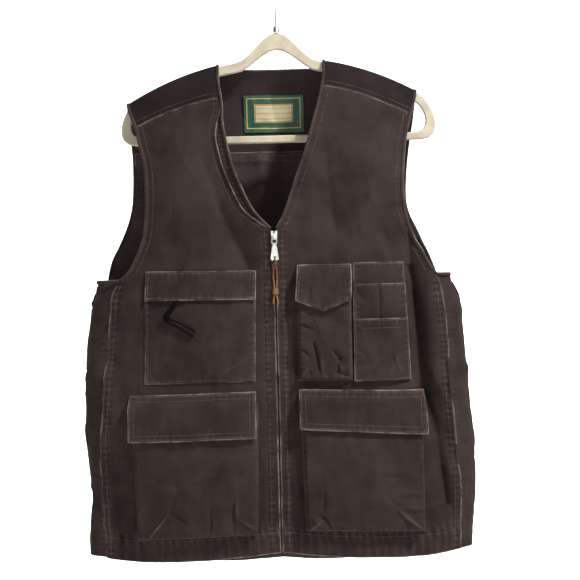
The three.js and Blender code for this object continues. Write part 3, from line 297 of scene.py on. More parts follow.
# Noise on a lattice, the same on every run
def lattice(ix, iy, seed):
    h = (ix.astype(np.int64) * 374761393 + iy.astype(np.int64) * 668265263 + seed * 974711) & 0x7FFFFFFF
    h = ((h ^ (h >> 13)) * 1274126177) & 0x7FFFFFFF
    return ((h ^ (h >> 16)) & 0xFFFF) / 32767.5 - 1.0


def noise(x, y, seed):
    x, y = np.broadcast_arrays(np.asarray(x, float), np.asarray(y, float))
    ix, iy = np.floor(x), np.floor(y)
    fx, fy = x - ix, y - iy
    sx, sy = fx**3 * (fx * (fx * 6 - 15) + 10), fy**3 * (fy * (fy * 6 - 15) + 10)
    low = lerp(lattice(ix, iy, seed), lattice(ix + 1, iy, seed), sx)
    high = lerp(lattice(ix, iy + 1, seed), lattice(ix + 1, iy + 1, seed), sx)
    return lerp(low, high, sy)


def crumple(x, z, seed, size=1.0):
    """Soft creases of washed canvas, in millimetres of height."""
    wide = x + 18 * noise(x / 52, z / 70, seed)
    long = z + 18 * noise(x / 60, z / 44, seed + 9)
    broad = 2.2 * noise(wide / 60, long / 105, seed + 1)
    middle = 1.5 * noise(wide / 25, long / 40, seed + 2)
    small = 0.3 * noise(wide / 8, long / 11, seed + 3)
    ridge = (1 - np.abs(noise((wide + 0.35 * z) / 46, (long - 0.3 * x) / 80, seed + 4))) ** 7
    valley = (1 - np.abs(noise((wide - 0.5 * z) / 40, (long + 0.4 * x) / 72, seed + 6))) ** 9
    return size * (broad + middle + small + 0.9 * ridge - 1.0 * valley)


def puckers(along, off, pitch, reach, height, seed):
    """Ripples across a sewn line that die away from it."""
    phase = along / pitch + 0.6 * noise(along / (3 * pitch), 0.5, seed)
    strength = 0.6 + 0.4 * noise(along / (2.4 * pitch), 3.5, seed + 1)
    return height * strength * np.sin(2 * math.pi * phase) * np.exp(-((off / reach) ** 2))


def fold_rise(folds, x, z, joined=False):
    """How far folds lift the cloth. Joined folds run on from one another, so their rises don't add up."""
    scale = BODY_LENGTH / BODY_HALF
    px, pz = x / BODY_HALF, down_of(z) * scale
    total = np.zeros_like(px)
    for across, down, to_across, to_down, width, rise, crisp in folds:
        ax, az = to_across - across, (to_down - down) * scale
        t = np.clip(((px - across) * ax + (pz - down * scale) * az) / (ax * ax + az * az), 0, 1)
        off = np.hypot(px - across - t * ax, pz - down * scale - t * az) / width
        each = rise * FRONT_DEPTH * np.exp(-(off**crisp))
        total = np.minimum(total, each) if joined else total + each
    return total


def face_y(x, z, side, furrowed=True):
    """The cloth's outer face, before its creases."""
    x, z = np.broadcast_arrays(np.asarray(x, float), np.asarray(z, float))
    share = np.minimum(1, np.abs(x) / half_width(np.sign(x), z))
    most = FRONT_DEPTH if side == "front" else BACK_DEPTH
    full = most * section_depth[side](down_of(z)) * (1 - share**SECTION_POWER) ** (1 / SECTION_POWER)
    drop = np.maximum(0, shoulder_z(x) - z)
    over = RIDGE * np.sqrt(1 - (1 - np.minimum(drop / RIDGE, 1)) ** 2)
    fall = 1 - np.exp(-np.maximum(0, drop - RIDGE) / SHOULDER_FALL[side])
    folds = fold_rise(FRONT_FOLDS if side == "front" else BACK_FOLDS, x, z)
    if side == "front" and furrowed:
        folds = folds + fold_rise(FRONT_FURROWS, x, z, joined=True)
    depth = over + np.maximum(0, full - RIDGE) * fall + folds * fall * np.minimum(1, full / RIDGE)
    return -depth if side == "front" else depth


def front_rub_and_height(x, z):
    """How much a front's cloth is puckered at its seams: its rise, and how rubbed the crests are."""
    sign = np.where(x < 0, -1.0, 1.0)
    over_hem = z - front_hem_z(x)
    from_seam = np.abs(front_edge_x(sign, z)) - np.abs(x)
    from_zip = np.abs(x) - np.abs(neck_edge_x(sign, z))
    under_yoke = front_seam_z(x) - z
    low = z < ARMHOLE_FOOT
    parts = [
        puckers(x + 0.2 * z, over_hem - HEM, 10.5, 8.0, 1.1, 11),
        puckers(x, np.maximum(0, over_hem - 3) * 0.6, 12.5, 14.0, 0.5, 13) * (over_hem < HEM),
        puckers(z, from_seam - 5, 8.5, 6.0, 1.0, 23) * low,
        puckers(z, from_seam - 4, 9.5, 5.0, 0.35, 29) * ~low,
        puckers(z, from_zip - np.where(x < 0, 9.0, 8.0), 8.0, 4.5, 1.2, 37) * (z < ZIP_TOP + 20),
        puckers(z, from_zip - 8, 9.5, 4.5, 0.4, 41) * (z >= ZIP_TOP + 20),
        puckers(x, under_yoke - 3, 10.0, 5.0, 0.4, 43),
    ]
    height = sum(parts)
    rub = np.clip(sum(np.clip(part, 0, None) for part in parts) / 0.8, 0, 1)
    hem_step = 0.7 * eased((HEM + 1 - over_hem) / 3)
    furrow = np.exp(-(((x - 15.5 - 1.2 * noise(z / 20, 1.5, 53)) / 1.9) ** 2)) * eased((-425 - z) / 20)
    fold = np.exp(-(((x + 15.0 - 1.2 * noise(z / 24, 4.5, 54)) / 2.4) ** 2)) * eased((ZIP_TOP - z) / 20)
    sewn = np.exp(-((over_hem - HEM + 1) ** 2) / 2.5) + np.exp(-((from_seam - 8) ** 2) / 2.5) * low
    return height + hem_step - 2.8 * furrow - 1.3 * fold - 0.5 * sewn, rub


def front_crease(x, z):
    calm = 0.55 + 0.35 * eased((-300 - z) / 160)
    side = 1 + 0.6 * eased((np.abs(x) / BODY_HALF - 0.72) / 0.12)
    return crumple(x, z, 101, 1.0) * calm * side


def back_rub_and_height(x, z):
    sign = np.where(x < 0, -1.0, 1.0)
    over_hem = z - back_hem_z(x)
    from_seam = np.abs(back_edge_x(sign, z)) - np.abs(x)
    parts = [
        puckers(x + 0.2 * z, over_hem - HEM, 10.5, 8.0, 1.1, 61),
        puckers(x, np.maximum(0, over_hem - 3) * 0.6, 12.5, 14.0, 0.5, 63) * (over_hem < HEM),
        puckers(z, from_seam - 5, 8.5, 6.0, 0.9, 67),
        puckers(x, z - BACK_SEAM_Z + 4, 10.0, 7.0, 0.5, 71),
    ]
    rub = np.clip(sum(np.clip(part, 0, None) for part in parts) / 0.8, 0, 1)
    return sum(parts) + 0.7 * eased((HEM + 1 - over_hem) / 3), rub


def on_body(x, z, side, lift=0.0, creased=True, furrowed=True):
    """Points on the front's or the back's cloth, standing lift off its face, and how rubbed they are."""
    probe = 1.5
    y = face_y(x, z, side, furrowed)
    slope_x = (face_y(x + probe, z, side, furrowed) - face_y(x - probe, z, side, furrowed)) / (2 * probe)
    slope_z = (face_y(x, z + probe, side, furrowed) - face_y(x, z - probe, side, furrowed)) / (2 * probe)
    slope_x, slope_z = np.clip(slope_x, -2.5, 2.5), np.clip(slope_z, -2.5, 2.5)
    out = -1.0 if side == "front" else 1.0
    lean = 1.0 if furrowed else PATCH_LEAN
    normal = np.stack([-out * lean * slope_x, np.full_like(y, out), -out * lean * slope_z], -1)
    normal /= np.linalg.norm(normal, axis=-1, keepdims=True)
    if side == "front":
        height, rub = front_rub_and_height(x, z)
        height = height * furrowed + front_crease(x, z)
    else:
        height, rub = back_rub_and_height(x, z)
        height = height + crumple(x, z, 211, 1.1)
    settle = eased((shoulder_z(x) - z - RIDGE) / 40)
    height = height * settle if creased else 0 * height
    points = np.stack([x, y, z], -1) + normal * (height + lift)[..., None]
    return points, rub * settle


# Meshes
def link(name, mesh, material=None):
    made = bpy.data.objects.new(name, mesh)
    bpy.context.scene.collection.objects.link(made)
    if material:
        mesh.materials.clear()
        mesh.materials.append(material)
    return made


def to_frame(points):
    """From the vest's millimetres to the frame's metres."""
    return (np.asarray(points, float) + np.array([VEST_SHIFT, 0, 0])) * MM


def mesh_of(name, vertices, faces):
    mesh = bpy.data.meshes.new(name)
    mesh.from_pydata([tuple(v) for v in vertices], [], [tuple(int(i) for i in f) for f in faces])
    mesh.polygons.foreach_set("use_smooth", [True] * len(mesh.polygons))
    mesh.update()
    return mesh


def point_values(mesh, name, values):
    mesh.attributes.new(name, "FLOAT", "POINT").data.foreach_set("value", np.asarray(values, np.float32))


def point_uv(mesh, uv):
    """A UV map of the cloth's own width and length, in metres."""
    corners = np.empty(len(mesh.loops), np.int32)
    mesh.loops.foreach_get("vertex_index", corners)
    mesh.uv_layers.new(name="weave").data.foreach_set("uv", (uv[corners] * MM).astype(np.float32).ravel())


def run_lengths(points, axis):
    step = np.linalg.norm(np.diff(points, axis=axis), axis=-1)
    step = np.where(np.isfinite(step), step, 0)
    start = np.zeros_like(np.take(points[..., 0], [0], axis=axis))
    return np.concatenate([start, np.cumsum(step, axis=axis)], axis=axis)


EDGE_TURNS = (math.radians(60), math.radians(120))


def cloth(name, outer, thickness, material, rub=None, worn="tblr", flip=False, mask=None):
    """A closed sheet with rounded edges, from the grid of its outer face.

    worn names the edges that are rubbed: t (top), b (foot), l (left) and r (right).
    """
    rows, columns = outer.shape[:2]
    there = np.ones((rows, columns), bool) if mask is None else mask
    number = np.full((rows, columns), -1)
    number[there] = np.arange(there.sum())
    a, b, c, d = number[:-1, :-1], number[:-1, 1:], number[1:, 1:], number[1:, :-1]
    quads = np.stack([a, b, c, d], -1).reshape(-1, 4)
    quads = quads[(quads >= 0).all(1)]
    points = outer[there]
    area = np.cross(points[quads[:, 2]] - points[quads[:, 0]], points[quads[:, 3]] - points[quads[:, 1]])
    middle = points[quads].mean(1)
    if (area[:, :2] * middle[:, :2]).sum() * (-1 if flip else 1) < 0:
        quads = quads[:, ::-1]
        area = -area
    normals = np.zeros_like(points)
    for corner in range(4):
        np.add.at(normals, quads[:, corner], area)
    normals /= np.maximum(np.linalg.norm(normals, axis=1, keepdims=True), 1e-9)
    inner = points - normals * thickness
    count = len(points)
    sides = np.concatenate([quads[:, [k, (k + 1) % 4]] for k in range(4)])
    keys = {tuple(side) for side in sides.tolist()}
    border = [side for side in sides.tolist() if (side[1], side[0]) not in keys]
    away = np.zeros_like(points)
    for start, end in border:
        outward = np.cross(points[end] - points[start], normals[start] + normals[end])
        outward /= max(np.linalg.norm(outward), 1e-9)
        away[start] += outward
        away[end] += outward
    edge = sorted({i for side in border for i in side})
    away[edge] /= np.maximum(np.linalg.norm(away[edge], axis=1, keepdims=True), 1e-9)
    place = {v: k for k, v in enumerate(edge)}
    rings = []
    for turn in EDGE_TURNS:
        centre = points[edge] - normals[edge] * thickness / 2
        across = normals[edge] * math.cos(turn) + away[edge] * math.sin(turn)
        rings.append(centre + across * thickness / 2)
    start_of = [0, 2 * count, 2 * count + len(edge), count]
    ring_index = lambda ring, v: (v if ring in (0, 3) else place[v]) + start_of[ring]
    faces = quads.tolist() + (quads[:, ::-1] + count).tolist()
    for start, end in border:
        for ring in range(3):
            faces.append(
                [ring_index(ring, end), ring_index(ring, start), ring_index(ring + 1, start), ring_index(ring + 1, end)]
            )
    mesh = mesh_of(name, to_frame(np.concatenate([points, inner, *rings])), faces)
    across_run, down_run = run_lengths(outer, 1), run_lengths(outer, 0)
    far = 60.0
    distances = {
        "t": down_run,
        "b": down_run[-1:, :] - down_run,
        "l": across_run,
        "r": across_run[:, -1:] - across_run,
    }
    from_edge = np.full(outer.shape[:2], far)
    for side in worn:
        from_edge = np.minimum(from_edge, distances[side])
    ring_worn = np.where(from_edge[there][edge] < 0.5, 0.0, far)
    point_values(mesh, "edge_mm", np.concatenate([from_edge[there]] * 2 + [ring_worn] * 2))
    rubbed = np.zeros(count) if rub is None else np.asarray(rub)[there]
    point_values(mesh, "rub", np.concatenate([rubbed, rubbed, rubbed[edge], rubbed[edge]]))
    inside = np.concatenate([np.zeros(count), np.ones(count), np.full(len(edge), 0.3), np.full(len(edge), 0.7)])
    point_values(mesh, "inside", inside)
    uv = np.stack([across_run, down_run], -1)[there]
    point_uv(mesh, np.concatenate([uv, uv, uv[edge], uv[edge]]))
    made = link(name, mesh, material)
    made["flat_mm2"] = float(np.linalg.norm(area, axis=1).sum() / 2)
    return made


EDGE_STEPS = np.array([0.0, 0.9, 2.1, 3.7])


def shares(length, step):
    """Places along a length as shares of it, closer together near its two ends."""
    count = max(2, int(round((length - 2 * EDGE_STEPS[-1]) / step)))
    middle = np.linspace(EDGE_STEPS[-1], length - EDGE_STEPS[-1], count + 1)
    return np.concatenate([EDGE_STEPS[:-1], middle, length - EDGE_STEPS[:-1][::-1]]) / length


def settle(x, x_at, z_at):
    """Places whose x depends on their height while their height depends on their x."""
    for _ in range(6):
        x = x_at(z_at(x))
    return x, z_at(x)


def sweep(name, path, half_out, half_up, outward, upward, material, sides=10, closed=False, ripple=0.0, pitch=5.0):
    """A rolled edge along a path, oval in section, with its small ripples."""
    along = np.concatenate([[0], np.cumsum(np.linalg.norm(np.diff(path, axis=0), axis=1))])
    swell = 1 + ripple * np.sin(2 * math.pi * (along / pitch + 0.5 * noise(along / 17, 0.5, 7)))
    rings = []
    for k in range(sides):
        turn = 2 * math.pi * k / sides
        aside = outward * (half_out * math.cos(turn) * swell)[:, None]
        raised = upward * (half_up * math.sin(turn) * swell)[:, None]
        rings.append(path + aside + raised)
    rings = np.stack(rings, 1)
    count = len(path)
    faces = []
    for i in range(count if closed else count - 1):
        for k in range(sides):
            j, m = (i + 1) % count, (k + 1) % sides
            faces.append([i * sides + k, i * sides + m, j * sides + m, j * sides + k])
    vertices = rings.reshape(-1, 3)
    if not closed:
        faces.append(list(range(sides))[::-1])
        faces.append([(count - 1) * sides + k for k in range(sides)])
    mesh = mesh_of(name, to_frame(vertices), faces)
    turn_out = np.cross(rings[1, 1] - rings[1, 0], rings[2, 0] - rings[1, 0])
    if turn_out @ (rings[1, 0] - path[1]) > 0:
        mesh.flip_normals()
    from_crest = 1.2 * (1 - np.cos(2 * math.pi * np.arange(sides) / sides)) * half_out
    point_values(mesh, "edge_mm", np.tile(from_crest, count))
    rubbed = np.clip(0.5 + 0.5 * (swell - 1) / max(ripple, 1e-6), 0, 1)
    point_values(mesh, "rub", np.repeat(rubbed, sides) * 0.6)
    point_values(mesh, "inside", np.zeros(len(vertices)))
    uv = np.stack([np.tile(np.arange(sides) * 1.5, count), np.repeat(along, sides)], -1)
    point_uv(mesh, uv)
    return link(name, mesh, material)


# Geometry node trees
def new_tree(name, inputs):
    tree = bpy.data.node_groups.new(name, "GeometryNodeTree")
    tree.interface.new_socket("Geometry", in_out="INPUT", socket_type="NodeSocketGeometry")
    for label, kind, value in inputs:
        socket = tree.interface.new_socket(label, in_out="INPUT", socket_type=kind)
        if value is not None:
            socket.default_value = value
    tree.interface.new_socket("Geometry", in_out="OUTPUT", socket_type="NodeSocketGeometry")
    return tree, tree.nodes.new("NodeGroupInput"), tree.nodes.new("NodeGroupOutput")


def stitch_tree():
    """Threads laid end to end along each curve."""
    tree, given, result = new_tree(
        "stitch_runs",
        [
            ("Pitch", "NodeSocketFloat", 0.0032),
            ("Stitch Length", "NodeSocketFloat", 0.0026),
            ("Thread", "NodeSocketFloat", 0.0007),
            ("Material", "NodeSocketMaterial", None),
        ],
    )
    nodes, links = tree.nodes, tree.links
    spaced = nodes.new("GeometryNodeResampleCurve")
    spaced.mode = "LENGTH"
    thread = nodes.new("GeometryNodeMeshUVSphere")
    thread.inputs["Segments"].default_value = 5
    thread.inputs["Rings"].default_value = 4
    thread.inputs["Radius"].default_value = 0.5
    size = nodes.new("ShaderNodeCombineXYZ")
    tangent = nodes.new("GeometryNodeInputTangent")
    align = nodes.new("FunctionNodeAlignRotationToVector")
    align.axis = "Z"
    place = nodes.new("GeometryNodeInstanceOnPoints")
    realize = nodes.new("GeometryNodeRealizeInstances")
    smooth = nodes.new("GeometryNodeSetShadeSmooth")
    paint = nodes.new("GeometryNodeSetMaterial")
    links.new(given.outputs["Geometry"], spaced.inputs["Curve"])
    links.new(given.outputs["Pitch"], spaced.inputs["Length"])
    links.new(spaced.outputs["Curve"], place.inputs["Points"])
    links.new(thread.outputs["Mesh"], place.inputs["Instance"])
    links.new(tangent.outputs["Tangent"], align.inputs["Vector"])
    links.new(align.outputs["Rotation"], place.inputs["Rotation"])
    links.new(given.outputs["Thread"], size.inputs["X"])
    links.new(given.outputs["Thread"], size.inputs["Y"])
    links.new(given.outputs["Stitch Length"], size.inputs["Z"])
    links.new(size.outputs["Vector"], place.inputs["Scale"])
    links.new(place.outputs["Instances"], realize.inputs["Geometry"])
    links.new(realize.outputs["Geometry"], smooth.inputs["Geometry"])
    links.new(smooth.outputs["Geometry"], paint.inputs["Geometry"])
    links.new(given.outputs["Material"], paint.inputs["Material"])
    links.new(paint.outputs["Geometry"], result.inputs["Geometry"])
    return tree


def teeth_tree():
    """Zip teeth along a curve, by turns to its left and its right."""
    tree, given, result = new_tree(
        "zip_teeth",
        [
            ("Pitch", "NodeSocketFloat", 0.0013),
            ("Side Step", "NodeSocketFloat", 0.0008),
            ("Tooth Size", "NodeSocketVector", (0.0026, 0.0020, 0.0009)),
            ("Material", "NodeSocketMaterial", None),
        ],
    )
    nodes, links = tree.nodes, tree.links
    spaced = nodes.new("GeometryNodeResampleCurve")
    spaced.mode = "LENGTH"
    number = nodes.new("GeometryNodeInputIndex")
    parity = nodes.new("ShaderNodeMath")
    parity.operation = "PINGPONG"
    parity.inputs[1].default_value = 1.0
    centred = nodes.new("ShaderNodeMath")
    centred.operation = "SUBTRACT"
    centred.inputs[1].default_value = 0.5
    stepped = nodes.new("ShaderNodeMath")
    stepped.operation = "MULTIPLY"
    offset = nodes.new("ShaderNodeCombineXYZ")
    moved = nodes.new("GeometryNodeSetPosition")
    tooth = nodes.new("GeometryNodeMeshCube")
    tangent = nodes.new("GeometryNodeInputTangent")
    align = nodes.new("FunctionNodeAlignRotationToVector")
    align.axis = "Z"
    place = nodes.new("GeometryNodeInstanceOnPoints")
    realize = nodes.new("GeometryNodeRealizeInstances")
    paint = nodes.new("GeometryNodeSetMaterial")
    links.new(given.outputs["Geometry"], spaced.inputs["Curve"])
    links.new(given.outputs["Pitch"], spaced.inputs["Length"])
    links.new(number.outputs["Index"], parity.inputs[0])
    links.new(parity.outputs[0], centred.inputs[0])
    links.new(centred.outputs[0], stepped.inputs[0])
    links.new(given.outputs["Side Step"], stepped.inputs[1])
    links.new(stepped.outputs[0], offset.inputs["X"])
    links.new(spaced.outputs["Curve"], moved.inputs["Geometry"])
    links.new(offset.outputs["Vector"], moved.inputs["Offset"])
    links.new(moved.outputs["Geometry"], place.inputs["Points"])
    links.new(given.outputs["Tooth Size"], tooth.inputs["Size"])
    links.new(tooth.outputs["Mesh"], place.inputs["Instance"])
    links.new(tangent.outputs["Tangent"], align.inputs["Vector"])
    links.new(align.outputs["Rotation"], place.inputs["Rotation"])
    links.new(place.outputs["Instances"], realize.inputs["Geometry"])
    links.new(realize.outputs["Geometry"], paint.inputs["Geometry"])
    links.new(given.outputs["Material"], paint.inputs["Material"])
    links.new(paint.outputs["Geometry"], result.inputs["Geometry"])
    return tree


def curve_of(name, runs):
    """A curve object with one poly spline for each run of points in the vest's millimetres."""
    curve = bpy.data.curves.new(name, "CURVE")
    curve.dimensions = "3D"
    for run in runs:
        spline = curve.splines.new("POLY")
        spline.points.add(len(run) - 1)
        spline.points.foreach_set("co", np.hstack([to_frame(run), np.ones((len(run), 1))]).ravel())
    return link(name, curve)


def plain_mesh(made, name):
    """The evaluated shape of an object as a mesh of its own, in place of the object."""
    depsgraph = bpy.context.evaluated_depsgraph_get()
    mesh = bpy.data.meshes.new_from_object(made.evaluated_get(depsgraph), depsgraph=depsgraph)
    bpy.data.objects.remove(made)
    mesh.name = name
    return link(name, mesh)


def grown(name, runs, tree, values):
    """Runs a node tree along curves and keeps the result as a plain mesh."""
    carrier = curve_of(name + "_path", runs)
    modifier = carrier.modifiers.new("grow", "NODES")
    modifier.node_group = tree
    for item in tree.interface.items_tree:
        if item.in_out == "INPUT" and item.name in values:
            modifier[item.identifier] = values[item.name]
    carrier.update_tag()
    return plain_mesh(carrier, name)


def belongs(piece, slot, *nodes):
    """The piece rides on the vest and stands for its solids, which it hides. Its slot is not used."""
    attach(piece, "root")
    if nodes:
        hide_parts(*nodes)
    return piece


def sewn_sheet(piece, slot, nodes):
    """A cut piece of cloth on the vest in place of its solids; its stored flat area is deleted."""
    belongs(piece, slot, *nodes)
    del piece["flat_mm2"]
    return piece


# Materials
def new_material(name):
    material = bpy.data.materials.new(name)
    material.use_nodes = True
    tree = material.node_tree
    return material, tree.nodes, tree.links, tree.nodes["Principled BSDF"]


def attribute(nodes, name):
    node = nodes.new("ShaderNodeAttribute")
    node.attribute_name = name
    return node.outputs["Fac"]


def maths(nodes, links, operation, *values, clamp=False):
    node = nodes.new("ShaderNodeMath")
    node.operation = operation
    node.use_clamp = clamp
    for socket, value in zip(node.inputs, values):
        if isinstance(value, (int, float)):
            socket.default_value = value
        else:
            links.new(value, socket)
    return node.outputs[0]


def spread(nodes, links, value, low, high, to_low=0.0, to_high=1.0):
    node = nodes.new("ShaderNodeMapRange")
    node.inputs["From Min"].default_value = low
    node.inputs["From Max"].default_value = high
    node.inputs["To Min"].default_value = to_low
    node.inputs["To Max"].default_value = to_high
    links.new(value, node.inputs["Value"])
    return node.outputs["Result"]


def noise_of(nodes, links, place, scale, detail=3.0, stretch=None):
    if stretch:
        mapping = nodes.new("ShaderNodeMapping")
        mapping.inputs["Scale"].default_value = stretch
        links.new(place, mapping.inputs["Vector"])
        place = mapping.outputs["Vector"]
    node = nodes.new("ShaderNodeTexNoise")
    node.inputs["Scale"].default_value = scale
    node.inputs["Detail"].default_value = detail
    links.new(place, node.inputs["Vector"])
    return node.outputs["Fac"]


def mixed(nodes, links, share, first, second):
    node = nodes.new("ShaderNodeMix")
    node.data_type = "RGBA"
    for socket, value in ((node.inputs["Factor"], share), (node.inputs["A"], first), (node.inputs["B"], second)):
        if isinstance(value, (tuple, float, int)):
            socket.default_value = value
        else:
            links.new(value, socket)
    return node.outputs["Result"]


def bumped(nodes, links, shader, height, strength, distance):
    bump = nodes.new("ShaderNodeBump")
    bump.inputs["Strength"].default_value = strength
    bump.inputs["Distance"].default_value = distance
    links.new(height, bump.inputs["Height"])
    links.new(bump.outputs["Normal"], shader.inputs["Normal"])


def canvas(name, deep, faded, rubbed, inner, edge_wear=0.8):
    """Washed cotton canvas: patches of fading, a fine twill, rubbed edges and seam crests, and a plainer inside."""
    material, nodes, links, shader = new_material(name)
    coords = nodes.new("ShaderNodeTexCoord")
    weave_uv = nodes.new("ShaderNodeUVMap")
    weave_uv.uv_map = "weave"
    place = coords.outputs["Object"]
    broad = noise_of(nodes, links, place, 13.0, 3.0)
    blotch = noise_of(nodes, links, place, 48.0, 6.0)
    streak = noise_of(nodes, links, place, 70.0, 4.0, (1.0, 1.0, 0.16))
    grain = noise_of(nodes, links, place, 520.0, 2.0)
    fade = spread(nodes, links, broad, 0.36, 0.66, 0.0, 0.62)
    fade = maths(nodes, links, "ADD", fade, spread(nodes, links, blotch, 0.36, 0.68, -0.12, 0.3))
    fade = maths(nodes, links, "ADD", fade, spread(nodes, links, streak, 0.42, 0.7, 0.0, 0.22), clamp=True)
    ground = mixed(nodes, links, fade, deep, faded)
    lining = mixed(nodes, links, attribute(nodes, "inside"), ground, inner)
    near = spread(nodes, links, attribute(nodes, "edge_mm"), 0.0, 1.5, 1.0, 0.0)
    frayed = maths(nodes, links, "MULTIPLY", near, spread(nodes, links, blotch, 0.4, 0.62, 0.12, 1.0))
    frayed = maths(nodes, links, "MULTIPLY", frayed, edge_wear)
    crest = maths(nodes, links, "MULTIPLY", attribute(nodes, "rub"), 0.12)
    worn = maths(nodes, links, "ADD", frayed, crest)
    worn = maths(nodes, links, "MULTIPLY", worn, spread(nodes, links, grain, 0.3, 0.65, 0.55, 1.0), clamp=True)
    links.new(mixed(nodes, links, worn, lining, rubbed), shader.inputs["Base Color"])
    shader.inputs["Roughness"].default_value = 0.88
    shader.inputs["Specular IOR Level"].default_value = 0.1
    twill = nodes.new("ShaderNodeTexWave")
    twill.wave_type = "BANDS"
    twill.bands_direction = "DIAGONAL"
    twill.inputs["Scale"].default_value = 560.0
    twill.inputs["Distortion"].default_value = 0.6
    links.new(weave_uv.outputs["UV"], twill.inputs["Vector"])
    threads = noise_of(nodes, links, weave_uv.outputs["UV"], 1100.0, 2.0)
    relief = maths(nodes, links, "ADD", twill.outputs["Fac"], threads)
    relief = maths(nodes, links, "ADD", relief, maths(nodes, links, "MULTIPLY", blotch, 2.2))
    bumped(nodes, links, shader, relief, 0.5, 0.0004)
    return material


def thread_material():
    material, nodes, links, shader = new_material("topstitch_thread")
    coords = nodes.new("ShaderNodeTexCoord")
    tone = noise_of(nodes, links, coords.outputs["Object"], 90.0, 3.0)
    colour = mixed(nodes, links, spread(nodes, links, tone, 0.35, 0.65), (0.026, 0.019, 0.016, 1), (0.10, 0.078, 0.066, 1))
    links.new(colour, shader.inputs["Base Color"])
    shader.inputs["Roughness"].default_value = 0.7
    strands = noise_of(nodes, links, coords.outputs["Object"], 2500.0, 2.0)
    bumped(nodes, links, shader, strands, 0.4, 0.0002)
    return material


def nickel_material(name, tint, roughness):
    material, nodes, links, shader = new_material(name)
    coords = nodes.new("ShaderNodeTexCoord")
    haze = noise_of(nodes, links, coords.outputs["Object"], 300.0, 4.0)
    darker = tuple(0.62 * c for c in tint[:3]) + (1,)
    links.new(mixed(nodes, links, spread(nodes, links, haze, 0.45, 0.75, 0.0, 0.7), tint, darker), shader.inputs["Base Color"])
    links.new(spread(nodes, links, haze, 0.3, 0.7, roughness, roughness + 0.18), shader.inputs["Roughness"])
    shader.inputs["Metallic"].default_value = 1.0
    bumped(nodes, links, shader, haze, 0.15, 0.0002)
    return material


def leather_material():
    """Oiled lace that goes from red-brown at its knot to tan at its ends."""
    material, nodes, links, shader = new_material("oiled_leather_lace")
    coords = nodes.new("ShaderNodeTexCoord")
    split = nodes.new("ShaderNodeSeparateXYZ")
    links.new(coords.outputs["Object"], split.inputs["Vector"])
    drop = spread(nodes, links, split.outputs["Z"], -0.402, -0.45)
    mottle = noise_of(nodes, links, coords.outputs["Object"], 260.0, 4.0)
    share = maths(nodes, links, "ADD", drop, spread(nodes, links, mottle, 0.3, 0.7, -0.35, 0.35), clamp=True)
    links.new(mixed(nodes, links, share, (0.05, 0.012, 0.0045, 1), (0.16, 0.07, 0.02, 1)), shader.inputs["Base Color"])
    shader.inputs["Roughness"].default_value = 0.55
    shader.inputs["Coat Weight"].default_value = 0.15
    creases = noise_of(nodes, links, coords.outputs["Object"], 1100.0, 3.0)
    bumped(nodes, links, shader, creases, 0.5, 0.0003)
    return material


def cord_material():
    material, nodes, links, shader = new_material("black_braid")
    coords = nodes.new("ShaderNodeTexCoord")
    braid = noise_of(nodes, links, coords.outputs["Object"], 1500.0, 2.0)
    links.new(mixed(nodes, links, braid, (0.001, 0.001, 0.001, 1), (0.004, 0.004, 0.004, 1)), shader.inputs["Base Color"])
    shader.inputs["Roughness"].default_value = 0.85
    shader.inputs["Specular IOR Level"].default_value = 0.05
    bumped(nodes, links, shader, braid, 0.6, 0.0004)
    return material


def flocking_material():
    """Short beige velvet on the hanger, brushed lighter and darker in patches."""
    material, nodes, links, shader = new_material("beige_flocking")
    coords = nodes.new("ShaderNodeTexCoord")
    nap = noise_of(nodes, links, coords.outputs["Object"], 40.0, 5.0)
    fibre = noise_of(nodes, links, coords.outputs["Object"], 2200.0, 2.0)
    tone = maths(nodes, links, "ADD", maths(nodes, links, "MULTIPLY", nap, 0.7), maths(nodes, links, "MULTIPLY", fibre, 0.3))
    colour = mixed(nodes, links, spread(nodes, links, tone, 0.35, 0.65), (0.31, 0.27, 0.20, 1), (0.44, 0.39, 0.30, 1))
    links.new(colour, shader.inputs["Base Color"])
    shader.inputs["Roughness"].default_value = 1.0
    shader.inputs["Specular IOR Level"].default_value = 0.1
    shader.inputs["Sheen Weight"].default_value = 0.5
    shader.inputs["Sheen Roughness"].default_value = 0.4
    shader.inputs["Sheen Tint"].default_value = (1.0, 0.96, 0.86, 1.0)
    bumped(nodes, links, shader, fibre, 0.5, 0.0004)
    return material


